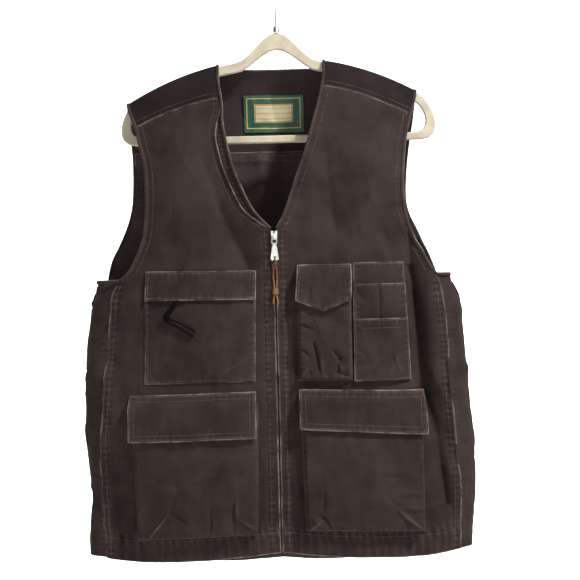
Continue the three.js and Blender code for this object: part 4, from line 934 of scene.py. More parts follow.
def label_material():
    """Green woven satin with a plain gold border and three plain gold bars."""
    material, nodes, links, shader = new_material("green_woven_label")
    uv = nodes.new("ShaderNodeUVMap")
    uv.uv_map = "weave"
    split = nodes.new("ShaderNodeSeparateXYZ")
    links.new(uv.outputs["UV"], split.inputs["Vector"])
    across = maths(nodes, links, "ABSOLUTE", maths(nodes, links, "SUBTRACT", split.outputs["X"], LABEL_WIDTH * MM / 2))
    down = maths(nodes, links, "ABSOLUTE", maths(nodes, links, "SUBTRACT", split.outputs["Y"], LABEL_HEIGHT * MM / 2))
    side = maths(nodes, links, "SUBTRACT", LABEL_WIDTH * MM / 2, across)
    foot = maths(nodes, links, "SUBTRACT", LABEL_HEIGHT * MM / 2, down)
    rim = maths(nodes, links, "MINIMUM", side, foot)
    past_rim = maths(nodes, links, "GREATER_THAN", rim, 0.0035)
    border = maths(nodes, links, "MULTIPLY", past_rim, maths(nodes, links, "LESS_THAN", rim, 0.0048))
    past_side = maths(nodes, links, "SUBTRACT", across, 0.026)
    panel_edge = maths(nodes, links, "MAXIMUM", past_side, maths(nodes, links, "SUBTRACT", down, 0.0115))
    panel = maths(nodes, links, "LESS_THAN", panel_edge, 0.0)
    frame_line = maths(nodes, links, "COMPARE", panel_edge, 0.0012, 0.0006)
    bars = maths(nodes, links, "LESS_THAN", maths(nodes, links, "PINGPONG", down, 0.0038), 0.0008)
    bars = maths(nodes, links, "MULTIPLY", bars, panel)
    gold = maths(nodes, links, "MAXIMUM", border, maths(nodes, links, "MAXIMUM", frame_line, bars))
    weft = nodes.new("ShaderNodeTexWave")
    weft.bands_direction = "Y"
    weft.inputs["Scale"].default_value = 420.0
    links.new(uv.outputs["UV"], weft.inputs["Vector"])
    ground = mixed(nodes, links, weft.outputs["Fac"], (0.003, 0.045, 0.024, 1), (0.008, 0.085, 0.047, 1))
    paled = mixed(nodes, links, panel, ground, (0.50, 0.45, 0.30, 1))
    links.new(mixed(nodes, links, gold, paled, (0.50, 0.30, 0.06, 1)), shader.inputs["Base Color"])
    shader.inputs["Roughness"].default_value = 0.5
    shader.inputs["Sheen Weight"].default_value = 0.2
    raised = maths(nodes, links, "ADD", weft.outputs["Fac"], maths(nodes, links, "MULTIPLY", gold, 2.0))
    bumped(nodes, links, shader, raised, 0.4, 0.0002)
    return material


LABEL_WIDTH = 85.0
LABEL_HEIGHT = 51.0
INNER_CANVAS = (0.040, 0.0285, 0.0265, 1)
body_canvas = canvas(
    "washed_brown_canvas",
    (0.0168, 0.0106, 0.0094, 1),
    (0.0305, 0.0218, 0.0175, 1),
    (0.23, 0.185, 0.155, 1),
    INNER_CANVAS,
)
yoke_canvas = canvas(
    "yoke_canvas",
    (0.0088, 0.0056, 0.0055, 1),
    (0.0160, 0.0112, 0.0102, 1),
    (0.20, 0.16, 0.14, 1),
    (0.030, 0.0205, 0.0195, 1),
)
edge_canvas = canvas(
    "rolled_edge_canvas",
    (0.017, 0.012, 0.0102, 1),
    (0.040, 0.031, 0.026, 1),
    (0.26, 0.21, 0.18, 1),
    INNER_CANVAS,
)
tape_cloth = canvas(
    "zip_tape_cloth",
    (0.0065, 0.0045, 0.004, 1),
    (0.0105, 0.0074, 0.0063, 1),
    (0.03, 0.023, 0.019, 1),
    (0.0065, 0.0045, 0.004, 1),
    edge_wear=0.1,
)
thread = thread_material()
nickel = nickel_material("worn_nickel", (0.62, 0.60, 0.56, 1), 0.24)
brass = nickel_material("dark_brass_teeth", (0.035, 0.025, 0.018, 1), 0.5)
leather = leather_material()
black_cord = cord_material()
flocking = flocking_material()
stitches = stitch_tree()
teeth = teeth_tree()


# Camera, studio and light
def studio():
    lean = math.radians(1.4)
    camera = bpy.data.cameras.new("camera")
    camera.sensor_width = 36.0
    camera.lens = 36.0 * 1.6 / 0.812
    camera.dof.use_dof = False
    view = bpy.data.objects.new("camera", camera)
    bpy.context.scene.collection.objects.link(view)
    level = Matrix(((math.cos(lean), math.sin(lean), 0.0), (0.0, 0.0, -1.0), (-math.sin(lean), math.cos(lean), 0.0)))
    view.matrix_world = Matrix.Translation((0.0106, -1.6, -0.4386)) @ level.to_4x4()
    bpy.context.scene.camera = view

    # A floor that curves up into a backdrop
    reach, floor_z, back_y, bend = 6.0, -1.05, 2.4, 0.9
    profile = [(-4.0, floor_z), (back_y - bend, floor_z)]
    for turn in np.linspace(0.1, math.pi / 2, 12):
        profile.append((back_y - bend + bend * math.sin(turn), floor_z + bend * (1 - math.cos(turn))))
    profile += [(back_y, 4.0)]
    vertices = [(x, y, z) for y, z in profile for x in (-reach, reach)]
    faces = [(2 * i, 2 * i + 1, 2 * i + 3, 2 * i + 2) for i in range(len(profile) - 1)]
    material, nodes, links, shader = new_material("pale_floor")
    shader.inputs["Base Color"].default_value = (0.9, 0.9, 0.9, 1)
    shader.inputs["Roughness"].default_value = 0.9
    shader.inputs["Emission Color"].default_value = (1, 1, 1, 1)
    # Only the far backdrop glows, so that the floor before the vest throws little light up at it
    coords = nodes.new("ShaderNodeTexCoord")
    split = nodes.new("ShaderNodeSeparateXYZ")
    links.new(coords.outputs["Object"], split.inputs["Vector"])
    links.new(spread(nodes, links, split.outputs["Y"], 0.5, 1.3, 0.0, 1.0), shader.inputs["Emission Strength"])
    floor = link("pale_floor", mesh_of("pale_floor", vertices, faces), material)

    world = bpy.data.worlds.new("soft_room")
    world.use_nodes = True
    world.node_tree.nodes["Background"].inputs["Color"].default_value = (1.0, 0.99, 0.97, 1)
    world.node_tree.nodes["Background"].inputs["Strength"].default_value = 0.13
    bpy.context.scene.world = world
    lights = [  # name, place, aim, size, power
        ("key", (1.5, -1.25, 1.6), (0.0, 0.0, -0.4), 0.36, 165.0),
        ("fill", (-1.9, -1.8, -0.3), (0.0, 0.0, -0.5), 1.8, 10.0),
        ("neck", (0.0, -2.4, 0.1), (0.0, 0.0, -0.25), 0.5, 8.0),
        ("back", (-0.9, 1.3, 1.2), (0.0, 0.0, -0.4), 0.8, 30.0),
    ]
    for name, place, aim, size, power in lights:
        lamp = bpy.data.lights.new(name, "AREA")
        lamp.shape = "DISK"
        lamp.size = size
        lamp.energy = power
        made = bpy.data.objects.new(name, lamp)
        back = np.array(place) - np.array(aim)
        made.rotation_euler = Vector(back).to_track_quat("Z", "Y").to_euler()
        made.location = place
        bpy.context.scene.collection.objects.link(made)
    bpy.context.scene.view_settings.view_transform = "Standard"


studio()

# Pocket shapes: across as shares of the body's half width, down as shares of its length
CHEST = {
    "sign": -1,
    "inner": 0.1,
    "inner_foot": 0.112,
    "outer": 0.654,
    "outer_foot": 0.672,
    "top": 0.4315,
    "top_outer": 0.428,
    "band_foot": 0.4875,
    "foot": 0.6505,
    "foot_outer": 0.6527,
}
FLAP_POCKET = {
    "sign": 1,
    "inner": 0.106,
    "outer": 0.378,
    "flap_inner": 0.113,
    "flap_inner_foot": 0.099,
    "flap_outer": 0.381,
    "flap_outer_foot": 0.376,
    "top": 0.4224,
    "flap_foot": 0.492,
    "point": 0.5134,
    "foot": 0.6525,
}
TOOL = {
    "sign": 1,
    "inner": 0.392,
    "inner_foot": 0.386,
    "outer": 0.652,
    "outer_foot": 0.673,
    "top": 0.42,
    "foot": 0.6545,
    "divider": 0.518,
}
TOOL_TIERS = (("tool_pocket_back", 0.42, 0), ("tool_pocket_middle", 0.463, 1), ("tool_pocket_front", 0.532, 2))
CARGO = {
    "right": {
        "sign": -1,
        "inner": 0.1,
        "inner_foot": 0.117,
        "outer": 0.745,
        "outer_foot": 0.726,
        "flap_inner": 0.113,
        "flap_outer": 0.752,
        "top": 0.6716,
        "top_outer": 0.676,
        "flap_foot": 0.761,
        "flap_foot_outer": 0.766,
        "foot": 0.957,
        "foot_outer": 0.9655,
    },
    "left": {
        "sign": 1,
        "inner": 0.11,
        "inner_foot": 0.123,
        "outer": 0.728,
        "outer_foot": 0.728,
        "flap_inner": 0.108,
        "flap_outer": 0.742,
        "top": 0.669,
        "top_outer": 0.678,
        "flap_foot": 0.745,
        "flap_foot_outer": 0.7634,
        "foot": 0.95,
        "foot_outer": 0.9595,
    },
}
POCKET_CLOTH = 1.0
FLAP_CLOTH = 1.8
FLAP_ROOT = 0.25  # of a flap's length, that lies on the panel over the pocket's mouth


def patch_place(sign, inner, inner_foot, outer, outer_foot, top, foot, top_outer=None, foot_outer=None):
    """A pocket's place on the front, between edges that may slant."""

    def place(u, v):
        x = sign * BODY_HALF * lerp(lerp(inner, inner_foot, v), lerp(outer, outer_foot, v), u)
        upper = top if top_outer is None else lerp(top, top_outer, u)
        lower = foot if foot_outer is None else lerp(foot, foot_outer, u)
        return x, height_of(lerp(upper, lower, v)) + 0 * u

    return place


def chest_lift(u, v):
    return LAY + POCKET_CLOTH + 6.0 * np.sin(u * math.pi) * np.sqrt(np.clip(np.sin(v * math.pi), 0, 1))


chest_place = patch_place(**{key: value for key, value in CHEST.items() if key != "band_foot"})

# The cord pull's two strands on the chest pocket: across from its inner edge and down from its top, as shares
PULL_STRANDS = {
    "pull_cord_1": [
        (0.697, 0.262),
        (0.703, 0.288),
        (0.718, 0.318),
        (0.743, 0.347),
        (0.77, 0.368),
        (0.792, 0.39),
        (0.796, 0.412),
        (0.775, 0.426),
        (0.738, 0.435),
        (0.69, 0.449),
        (0.62, 0.488),
        (0.534, 0.538),
    ],
    "pull_cord_2": [
        (0.727, 0.262),
        (0.735, 0.29),
        (0.751, 0.322),
        (0.775, 0.35),
        (0.8, 0.376),
        (0.813, 0.403),
        (0.808, 0.43),
        (0.784, 0.45),
        (0.748, 0.466),
        (0.7, 0.488),
        (0.63, 0.533),
        (0.546, 0.584),
    ],
}
CORD = 3.0


def smooth_run(points, count):
    """Points of a smooth curve through a short list of points."""
    points = np.asarray(points, float)
    at = np.concatenate([[0], np.cumsum(np.linalg.norm(np.diff(points, axis=0), axis=1))])
    want = np.linspace(0, at[-1], count)
    slopes = np.gradient(points, at, axis=0)
    i = np.clip(np.searchsorted(at, want) - 1, 0, len(at) - 2)
    run = (at[i + 1] - at[i])[:, None]
    t = (want - at[i])[:, None] / run
    bend = t * (1 - t) * run * ((1 - t) * slopes[i] - t * slopes[i + 1])
    return points[i] + (points[i + 1] - points[i]) * eased(t) + bend


def run_length(points):
    return float(np.linalg.norm(np.diff(points, axis=0), axis=1).sum())


def cord_curve(name, points, diameter, material):
    made = curve_of(name, [points])
    made.data.bevel_depth = diameter * MM / 2
    made.data.bevel_resolution = 4
    made.data.use_fill_caps = True
    made.data.splines[0].use_smooth = True
    made.data.materials.append(material)
    return made


for number, (name, places) in enumerate(PULL_STRANDS.items(), 1):
    across, down = np.array(places).T
    x, z = chest_place(across, down)
    points, _ = on_body(x, z, "front", chest_lift(across, down) + CORD / 2 + 1.0)
    points = smooth_run(points, 36)
    strand = cord_curve(name, points, CORD, black_cord)
    belongs(strand, "black_cord", f"pull_cord_top_{number}", f"pull_cord_tail_{number}")
    to_frame(points[0])
    run_length(points) * MM

# Leather lace on the zip's tab
slider_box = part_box("zip_slider")
tab_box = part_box("zip_pull_tab")
LACE = 2.4
lace_y = (tab_box[0].y + tab_box[1].y) / 2 / MM
lace_x = (tab_box[0].x + tab_box[1].x) / 2 / MM - VEST_SHIFT
knot_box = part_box("zip_lace_knot")
wrap_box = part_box("zip_lace_wrap")
knot_z = knot_box[0].z / MM
wrap_z = (wrap_box[0].z + wrap_box[1].z) / 2 / MM
wrap_y = (wrap_box[0].y + wrap_box[1].y) / 2 / MM
foot_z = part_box("zip_lace_strand_left")[0].z / MM
for hand, side in ((-1, "right"), (1, "left")):
    drops = [
        (1.1, 0.0, knot_z + 1.0),
        (1.9, -0.4, knot_z - 6),
        (2.4, -1.0, knot_z - 15),
        (1.9, -1.9, knot_z - 24),
        (1.3, wrap_y - lace_y, wrap_z + 4),
        (1.3, wrap_y - lace_y, wrap_z - 4),
        (2.4, wrap_y - lace_y - 0.2, wrap_z - 10),
        (3.1, wrap_y - lace_y - 0.4, foot_z + (1.0 if hand < 0 else 0.0)),
    ]
    points = smooth_run([(lace_x + hand * x, lace_y + y, z) for x, y, z in drops], 34)
    strand = cord_curve("lace_strand_" + side, points, LACE, leather)
    belongs(strand, "leather", "zip_lace_strand_" + side)
    to_frame(points[0])
    run_length(points) * MM

# Front panels
YOKE_UNDERLAP = 7.0
SIDE_LAP = 2.6
LAP_LIFT = CLOTH + 0.3


def front_recess(sign, z):
    """How far the right front's neck edge has rolled back from its facing."""
    if sign > 0:
        return 0 * z
    return 11.0 * eased((-175 - z) / 60) * eased((z - ZIP_TOP + 6) / 40)


def front_panel(sign):
    us = shares(240.0, 2.2)
    top_rows = shares(250.0, 2.3)[:-3]
    foot_rows = shares(381.0, 2.3)[1:]
    u, t = np.meshgrid(us, np.concatenate([top_rows, 1 + foot_rows]))

    def z_at(x):
        start = front_seam_z(x) + YOKE_UNDERLAP
        return np.where(t <= 1, lerp(start, ARMHOLE_FOOT, np.minimum(t, 1)), lerp(ARMHOLE_FOOT, front_hem_z(x), t - 1))

    def x_at(z):
        lap = SIDE_LAP * eased((ARMHOLE_FOOT - z) / 14)
        inner = neck_edge_x(sign, z) + sign * front_recess(sign, z)
        below = ZIP_TOP - z
        wave = sign * (0.5 * noise(z / 15, 0.5, 5 + int(sign)) - 0.9 * eased(below / 120)) * eased(below / 20)
        return lerp(inner + wave, front_edge_x(sign, z) + sign * lap, u)

    x, z = settle(sign * BODY_HALF * u, x_at, z_at)
    under = front_seam_z(x) - z
    sink = -(CLOTH + 0.5) * eased(1 - (under + 1.5) / 3.5)
    to_side = (1 - u) * 240
    lap_lift = LAP_LIFT * eased(1 - to_side / 9) * eased((ARMHOLE_FOOT - z) / 14)
    roll = 2.5 * eased(front_recess(sign, z) / 11) * np.exp(-((u * 240 / 9) ** 2))
    turned = 0.8 * np.exp(-((u * 240 / 3.0) ** 2)) * (z < ZIP_TOP)
    points, rub = on_body(x, z, "front", sink + lap_lift + roll + turned)
    side = side_name(sign)
    made = cloth("front_" + side + "_canvas", points, CLOTH, body_canvas, rub, "blr")
    sewn_sheet(made, "canvas", ["front_panel_" + side])


front_panel(-1)
front_panel(1)


# Side panels
def side_points(sign, turn, z):
    half = half_width(sign, z)
    angle_of = lambda x: np.arcsin(np.minimum(1, np.abs(x) / half) ** (SECTION_POWER / 2))
    level = np.minimum(z, ARMHOLE_FOOT)
    start, end = angle_of(front_edge_x(sign, level)), math.pi - angle_of(back_edge_x(sign, level))
    angle = lerp(start, end, turn)
    x = sign * half * np.abs(np.sin(angle)) ** (2 / SECTION_POWER)
    y = np.where(angle < math.pi / 2, face_y(x, z, "front"), face_y(x, z, "back"))
    return np.stack([x, y, z + 0 * x], -1)


def grid_normals(points):
    down, across = np.gradient(points, axis=0), np.gradient(points, axis=1)
    normal = np.cross(down, across)
    return normal / np.maximum(np.linalg.norm(normal, axis=-1, keepdims=True), 1e-9)


def side_panel(sign):
    turn, t = np.meshgrid(shares(90.0, 2.4), shares(380.0, 2.4))
    foot = front_hem_z(sign * BODY_HALF * 0.95)
    z = lerp(ARMHOLE_FOOT, foot, t)
    points = side_points(sign, turn, z)
    normal = grid_normals(points)
    if (normal[..., 0] * sign).mean() < 0:
        normal = -normal
    across = turn * 90
    over_hem = z - foot
    parts = [
        puckers(z, across - 4, 7.5, 6.5, 0.7, 23),
        puckers(z, 86 - across, 7.5, 6.5, 0.7, 67),
        puckers(across, over_hem - HEM, 9.0, 9.0, 0.7, 83),
        puckers(across, z - ARMHOLE_FOOT + 3, 8.0, 7.0, 0.4, 89),
    ]
    fade_in = np.minimum(1, np.minimum(across, 90 - across) / 10)
    height = sum(parts) * 0.8 + 1.5 * crumple(across + 40 * sign, z, 307) * fade_in + 0.6 * eased((HEM + 1 - over_hem) / 3)
    slump = 2.2 * np.sin((z + 30 * sign) / 23) * noise(z / 60, across / 40, 311) * fade_in
    rub = np.clip(sum(np.clip(p, 0, None) for p in parts) / 0.9, 0, 1)
    side = side_name(sign)
    made = cloth("side_" + side + "_canvas", points + normal * (height + slump)[..., None], CLOTH, body_canvas, rub, "b")
    sewn_sheet(made, "canvas", ["side_panel_" + side])


side_panel(-1)
side_panel(1)


# Back panel and yoke
def back_panel():
    us = shares(480.0, 3.4)
    u, t = np.meshgrid(us, np.concatenate([shares(190.0, 3.4)[:-3], 1 + shares(400.0, 3.4)[1:]]))
    top = BACK_SEAM_Z + 5

    def z_at(x):
        return np.where(t <= 1, lerp(top, ARMHOLE_FOOT, np.minimum(t, 1)), lerp(ARMHOLE_FOOT, back_hem_z(x), t - 1))

    def x_at(z):
        lap = SIDE_LAP * eased((ARMHOLE_FOOT - z) / 14)
        return lerp(back_edge_x(-1, z) - lap, back_edge_x(1, z) + lap, u)

    x, z = settle(lerp(-BODY_HALF, BODY_HALF, u), x_at, z_at)
    sink = -(CLOTH + 0.5) * eased((z - BACK_SEAM_Z + 13) / 4)
    to_side = np.minimum(u, 1 - u) * 480
    lap_lift = LAP_LIFT * eased(1 - to_side / 9) * eased((ARMHOLE_FOOT - z) / 14)
    points, rub = on_body(x, z, "back", sink + lap_lift)
    made = cloth("back_canvas", points, CLOTH, body_canvas, rub, "tblr")
    sewn_sheet(made, "canvas", ["back_panel"])


back_panel()

SHOULDER_COLUMNS = 46
NECK_COLUMNS = 56


def yoke():
    out = np.linspace(1, 0, SHOULDER_COLUMNS)
    middle = np.linspace(-1, 1, NECK_COLUMNS)[1:-1]
    sign = np.concatenate([-np.ones(SHOULDER_COLUMNS), np.sign(middle), np.ones(SHOULDER_COLUMNS)])
    reach = np.concatenate([out, np.abs(middle), out[::-1]])
    shoulder = np.zeros(SHOULDER_COLUMNS, bool)
    neck = np.concatenate([shoulder, np.ones(NECK_COLUMNS - 2, bool), shoulder])
    neck_row = NECK_TOP - BACK_NECK_DROP
    rows, rubs, masks = [], [], []

    def add_row(side, z_at, inner_at, lift):
        edge = back_edge_x if side == "back" else front_edge_x
        x_at = lambda z: np.where(neck, sign * reach * inner_at(z), lerp(sign * inner_at(z), edge(sign, z), reach))
        x, z = settle(sign * NECK_HALF, x_at, z_at)
        points, rub = on_body(x, z, side, lift + 0 * x)
        rows.append(points)
        rubs.append(rub)

    for t in shares(BACK_YOKE - BACK_NECK_DROP + 9, 2.8):
        z_at = lambda x: lerp(BACK_SEAM_Z - 9, np.where(neck, neck_row, shoulder_z(x) - BACK_NECK_DROP), t)
        add_row("back", z_at, lambda z: NECK_HALF, 0.0)
        masks.append(np.ones(len(sign), bool))
    for turn in np.radians(np.linspace(90, -90, 15)):
        drop = RIDGE * (1 - math.cos(turn))
        add_row("back" if turn > 0 else "front", lambda x: shoulder_z(x) - drop, lambda z: NECK_HALF, 0.0)
        masks.append(~neck)
    tip_z = shoulder_z(sign * BODY_HALF * front_edge(sign, 0.05))
    for t in shares(FRONT_YOKE, 2.4)[1:]:
        z_at = lambda x: lerp(shoulder_z(x) - RIDGE, front_seam_z(x) - 1.0, t)
        inner_at = lambda z: np.where(tip_z - z < 2 * RIDGE, NECK_HALF, np.abs(neck_edge_x(sign, z)))
        add_row("front", z_at, inner_at, 0.15)
        masks.append(~neck)
    grid, mask = np.stack(rows), np.stack(masks)
    made = cloth("yoke_canvas_piece", grid, CLOTH, yoke_canvas, np.stack(rubs), "tb", mask=mask)
    sewn_sheet(made, "canvas_yoke", ["yoke"])


yoke()


# Rolled edges of the armholes and the neck
INWARD = 4.0  # from an edge to the points that tell which way its roll faces


def edging_frames(edge, inside):
    along = np.gradient(edge, axis=0)
    along /= np.linalg.norm(along, axis=1, keepdims=True)
    out = edge - inside
    out -= along * (out * along).sum(1, keepdims=True)
    out /= np.maximum(np.linalg.norm(out, axis=1, keepdims=True), 1e-9)
    up = np.cross(along, out)
    return out, up


def edge_run(edge_at, side, drops, sign):
    """An edge's points at the given drops, and the points just inside it."""
    start = sign * BODY_HALF * 0.75 + 0 * drops
    z_at = lambda x: lerp(shoulder_z(x) - 2 * RIDGE, ARMHOLE_FOOT, drops)
    x, z = settle(start, lambda z: edge_at(sign, z), z_at)
    edge, _ = on_body(x, z, side)
    inside, _ = on_body(x - sign * INWARD, z, side)
    return edge, inside


def ridge_run(edge_at, sign, turns):
    edges, insides = [], []
    start = np.array([sign * BODY_HALF * 0.75])
    for turn in turns:
        side = "back" if turn > 0 else "front"
        drop = RIDGE * (1 - math.cos(turn))
        x, z = settle(start, lambda z: edge_at(sign, z), lambda x: shoulder_z(x) - drop)
        x2 = x - sign * INWARD
        edges.append(on_body(x, z, side)[0][0])
        insides.append(on_body(x2, shoulder_z(x2) - drop, side)[0][0])
    return np.array(edges), np.array(insides)


def armhole_edging(sign):
    drops = np.linspace(0, 1, 110)
    front, front_in = edge_run(front_edge_x, "front", drops, sign)
    back, back_in = edge_run(back_edge_x, "back", drops, sign)
    ridge, ridge_in = ridge_run(front_edge_x, sign, np.radians(np.linspace(75, -75, 11)))
    turns = np.linspace(0, 1, 46)[1:-1]
    under = side_points(sign, turns, np.full(len(turns), ARMHOLE_FOOT))
    under_in = side_points(sign, turns, np.full(len(turns), ARMHOLE_FOOT - INWARD))
    edge = np.concatenate([ridge, front, under, back[::-1]])
    inside = np.concatenate([ridge_in, front_in, under_in, back_in[::-1]])
    for _ in range(3):
        edge = (np.roll(edge, 1, 0) + 2 * edge + np.roll(edge, -1, 0)) / 4
        inside = (np.roll(inside, 1, 0) + 2 * inside + np.roll(inside, -1, 0)) / 4
    out, up = edging_frames(edge, inside)
    side = side_name(sign)
    path = edge + out * 0.9
    made = sweep("armhole_edge_" + side, path, 2.5, 1.75, out, up, edge_canvas, closed=True, ripple=0.08, pitch=5.5)
    belongs(made, "canvas_edge", "armhole_binding_" + side)


armhole_edging(-1)
armhole_edging(1)


def neck_edging():
    def v_side(sign):
        z = np.linspace(ZIP_TOP + 3, NECK_TOP - 2 * RIDGE, 120)
        x = neck_edge_x(sign, z)
        tuck = np.where(sign < 0, 1.0, 0.0) * (CLOTH + 1.6) * eased(front_recess(sign, z) / 11)
        return on_body(x, z, "front", -tuck)[0], on_body(x + sign * 4, z, "front", -tuck)[0]

    def ridge_side(sign):
        turns = np.radians(np.linspace(-75, 75, 11))
        edges, insides = [], []
        for turn in turns:
            side = "back" if turn > 0 else "front"
            drop = RIDGE * (1 - math.cos(turn))
            for store, x in ((edges, sign * NECK_HALF), (insides, sign * (NECK_HALF + 4))):
                x = np.array([x])
                store.append(on_body(x, shoulder_z(x) - drop, side)[0][0])
        return np.array(edges), np.array(insides)

    neck_row = NECK_TOP - BACK_NECK_DROP
    x = np.linspace(-NECK_HALF, NECK_HALF, 70)[1:-1]
    back, back_in = on_body(x, neck_row + 0 * x, "back")[0], on_body(x, neck_row - 4 + 0 * x, "back")[0]
    left, left_in = v_side(-1.0)
    right, right_in = v_side(1.0)
    ridge_l, ridge_l_in = ridge_side(-1.0)
    ridge_r, ridge_r_in = ridge_side(1.0)
    edge = np.concatenate([left, ridge_l, back, ridge_r[::-1], right[::-1]])
    inside = np.concatenate([left_in, ridge_l_in, back_in, ridge_r_in[::-1], right_in[::-1]])
    for _ in range(3):
        edge[1:-1] = (edge[:-2] + 2 * edge[1:-1] + edge[2:]) / 4
        inside[1:-1] = (inside[:-2] + 2 * inside[1:-1] + inside[2:]) / 4
    out, up = edging_frames(edge, inside)
    made = sweep("neck_edge", edge + out * 0.7, 2.2, 1.6, out, up, edge_canvas, ripple=0.09, pitch=6.0)
    belongs(made, "canvas_edge", "neck_binding")


neck_edging()


def neck_facing(sign):
    u, t = np.meshgrid(shares(26.0, 2.0), shares(185.0, 2.2))
    z = lerp(front_seam_z(sign * NECK_HALF) - 1.5, ZIP_TOP + 4, t)
    x = neck_edge_x(sign, z) + sign * (0.6 + 25.4 * u)
    ruffle = 0.9 * puckers(z, u * 26 - 5, 7.0, 9.0, 1.0, 97 + int(sign))
    deep = CLOTH + 0.9 + (1.6 * eased(front_recess(sign, z) / 11) if sign < 0 else 0)
    points, _ = on_body(x, z, "front", -deep + ruffle * 0.8)
    side = side_name(sign)
    made = cloth("neck_facing_" + side + "_canvas", points, CLOTH, body_canvas, np.clip(ruffle, 0, 1), "lr")
    sewn_sheet(made, "canvas", ["neck_facing_" + side])


neck_facing(-1)
neck_facing(1)


# Zip: tapes and teeth; its slider and puller stay the frame's own solids
def zip_run(x, count, lift):
    z = np.linspace(ZIP_TOP + 1, front_hem_z(np.array(0.0)) + 1.0, count)
    points, _ = on_body(x + 0 * z, z, "front", lift + 0 * z, creased=False)
    return points


def zip_tapes():
    for sign in (-1, 1):
        u, t = np.meshgrid(shares(12.0, 1.6), shares(434.0, 3.0))
        z = lerp(ZIP_TOP + 1, front_hem_z(0 * t) + 1.0, t)
        x = sign * (2.0 + 12.0 * u)
        points, _ = on_body(x, z, "front", -(CLOTH + 1.9) - 0.9 * (z < HEM_Z + 2 * HEM) + 0 * z, creased=False)
        side = side_name(sign)
        made = cloth("zip_tape_" + side + "_cloth", points, 0.8, tape_cloth, None, "l")
        sewn_sheet(made, "zip_tape", ["zip_tape_" + side])
    row = grown("zip_teeth_row", [zip_run(0.0, 200, -1.9)], teeth, {"Pitch": 1.25 * MM, "Side Step": 0.9 * MM, "Material": brass})
    belongs(row, "aged_brass", "zip_chain")


zip_tapes()


pocket_stitches = []
bar_tacks = []


class Patch:
    """A piece of cloth laid on a front: place(u, v) gives where, lift(u, v) how far its face stands off."""

    def __init__(self, place, lift, size, thickness, seed, crush=0.35, pucker=0.5, marks=()):
        self.place, self.lift, self.size, self.thickness = place, lift, size, thickness
        self.seed, self.crush, self.pucker, self.marks = seed, crush, pucker, marks

    def face(self, u, v, raised=0.0):
        across, down = u * self.size[0], v * self.size[1]
        borders = {"l": across, "r": self.size[0] - across, "t": down, "b": self.size[1] - down}
        along = {"l": down, "r": down, "t": across, "b": across}
        height, rub = self.lift(u, v), np.zeros_like(u)
        for number, side in enumerate("lrtb"):
            part = puckers(along[side], borders[side] - 3.0, 9.0, 5.0, self.pucker, self.seed + number)
            height = height + 0.8 * part
            rub = np.maximum(rub, 0.8 * np.clip(part / self.pucker, 0, 1))
        inner = eased(np.minimum.reduce(list(borders.values())) / 14)
        height = height + self.crush * crumple(across, down, self.seed + 10) * inner
        for x0, z0, x1, z1, width, rise, wear in self.marks:
            ax, az = x1 - x0, z1 - z0
            t = np.clip(((across - x0) * ax + (down - z0) * az) / (ax * ax + az * az), 0, 1)
            wobble = 1.5 * noise(down / 10, across / 10, int(abs(x0 * 7 + z0)))
            off = (np.hypot(across - x0 - t * ax, down - z0 - t * az) + 0.25 * wobble) / width
            shape = np.exp(-np.abs(off) ** 1.3) * (0.35 + 0.65 * np.sin(math.pi * np.clip(0.15 + 0.75 * t, 0, 1)))
            height = height + rise * shape
            rub = np.maximum(rub, wear * shape**3)
        x, z = self.place(u, v)
        lift = np.maximum(height, LAY + self.thickness * 0.9) + raised
        return on_body(x, z, "front", lift, furrowed=False)[0], rub

    def line(self, side, inset, raised=0.15):
        """A run along one side, inset from it, for a row of stitches."""
        width, length = self.size
        span = width if side in "tb" else length
        t = np.linspace(inset / span, 1 - inset / span, max(12, int(span / 2.5)))
        u, v = {
            "l": (inset / width + 0 * t, t),
            "r": (1 - inset / width + 0 * t, t),
            "t": (t, inset / length + 0 * t),
            "b": (t, 1 - inset / length + 0 * t),
        }[side]
        return self.face(u, v, raised)[0]

    def sew(self, name, slot, nodes, step, worn, stitched="", insets=(3.0,)):
        u, v = np.meshgrid(shares(self.size[0], step), shares(self.size[1], step))
        points, rub = self.face(u, v)
        made = cloth(name, points, self.thickness, body_canvas, rub, worn)
        sewn_sheet(made, slot, nodes)
        pocket_stitches.extend(self.line(side, inset) for side in stitched for inset in insets)

    def tack(self, u, v, reach=7.0, across=True):
        """A bar tack: a short band of close stitches."""
        t = np.linspace(-0.5, 0.5, 8)
        for row in (-0.6, 0.0, 0.6):
            du, dv = (t * reach, row + 0 * t) if across else (row + 0 * t, t * reach)
            bar_tacks.append(self.face(u + du / self.size[0], v + dv / self.size[1], 0.25)[0])


# Chest pocket with a zip under its band
CHEST_MARKS = [  # two ends in millimetres across and down, width, rise, rub
    (6, 118, 52, 144, 5, 1.2, 0.3),
    (58, 130, 70, 150, 3.4, 1.6, 0.4),
    (72, 128, 78, 150, 3.4, -1.5, 0.0),
    (98, 124, 108, 150, 3.2, 1.3, 0.4),
    (128, 108, 143, 138, 4, -1.3, 0.0),
    (20, 60, 24, 130, 9, -1.0, 0.0),
    (60, 72, 82, 122, 6, 1.0, 0.2),
]
CHEST_SIZE = (150.0, 152.0)
chest_pocket = Patch(chest_place, chest_lift, CHEST_SIZE, POCKET_CLOTH, 421, marks=CHEST_MARKS)
chest_pocket.sew(
    "chest_zip_pocket_canvas", "canvas", ["chest_zip_pocket"], 1.7, "blr", "blr"
)
band_share = (CHEST["band_foot"] - CHEST["top"]) / (CHEST["foot"] - CHEST["top"])
chest_band = Patch(
    lambda u, v: chest_place(lerp(-0.004, 1.0, u), v * band_share),
    lambda u, v: chest_lift(np.clip(u, 0, 1), v * band_share) + LAY + CLOTH + 2.2 * v**2,
    (150.0, 40.0),
    CLOTH,
    443,
    crush=0.25,
    pucker=0.35,
)
chest_band.sew(
    "chest_band_canvas", "canvas", ["chest_pocket_band"], 1.6, "tblr", "tblr"
)
for u in (0.03, 0.97):
    chest_band.tack(u, 0.93)


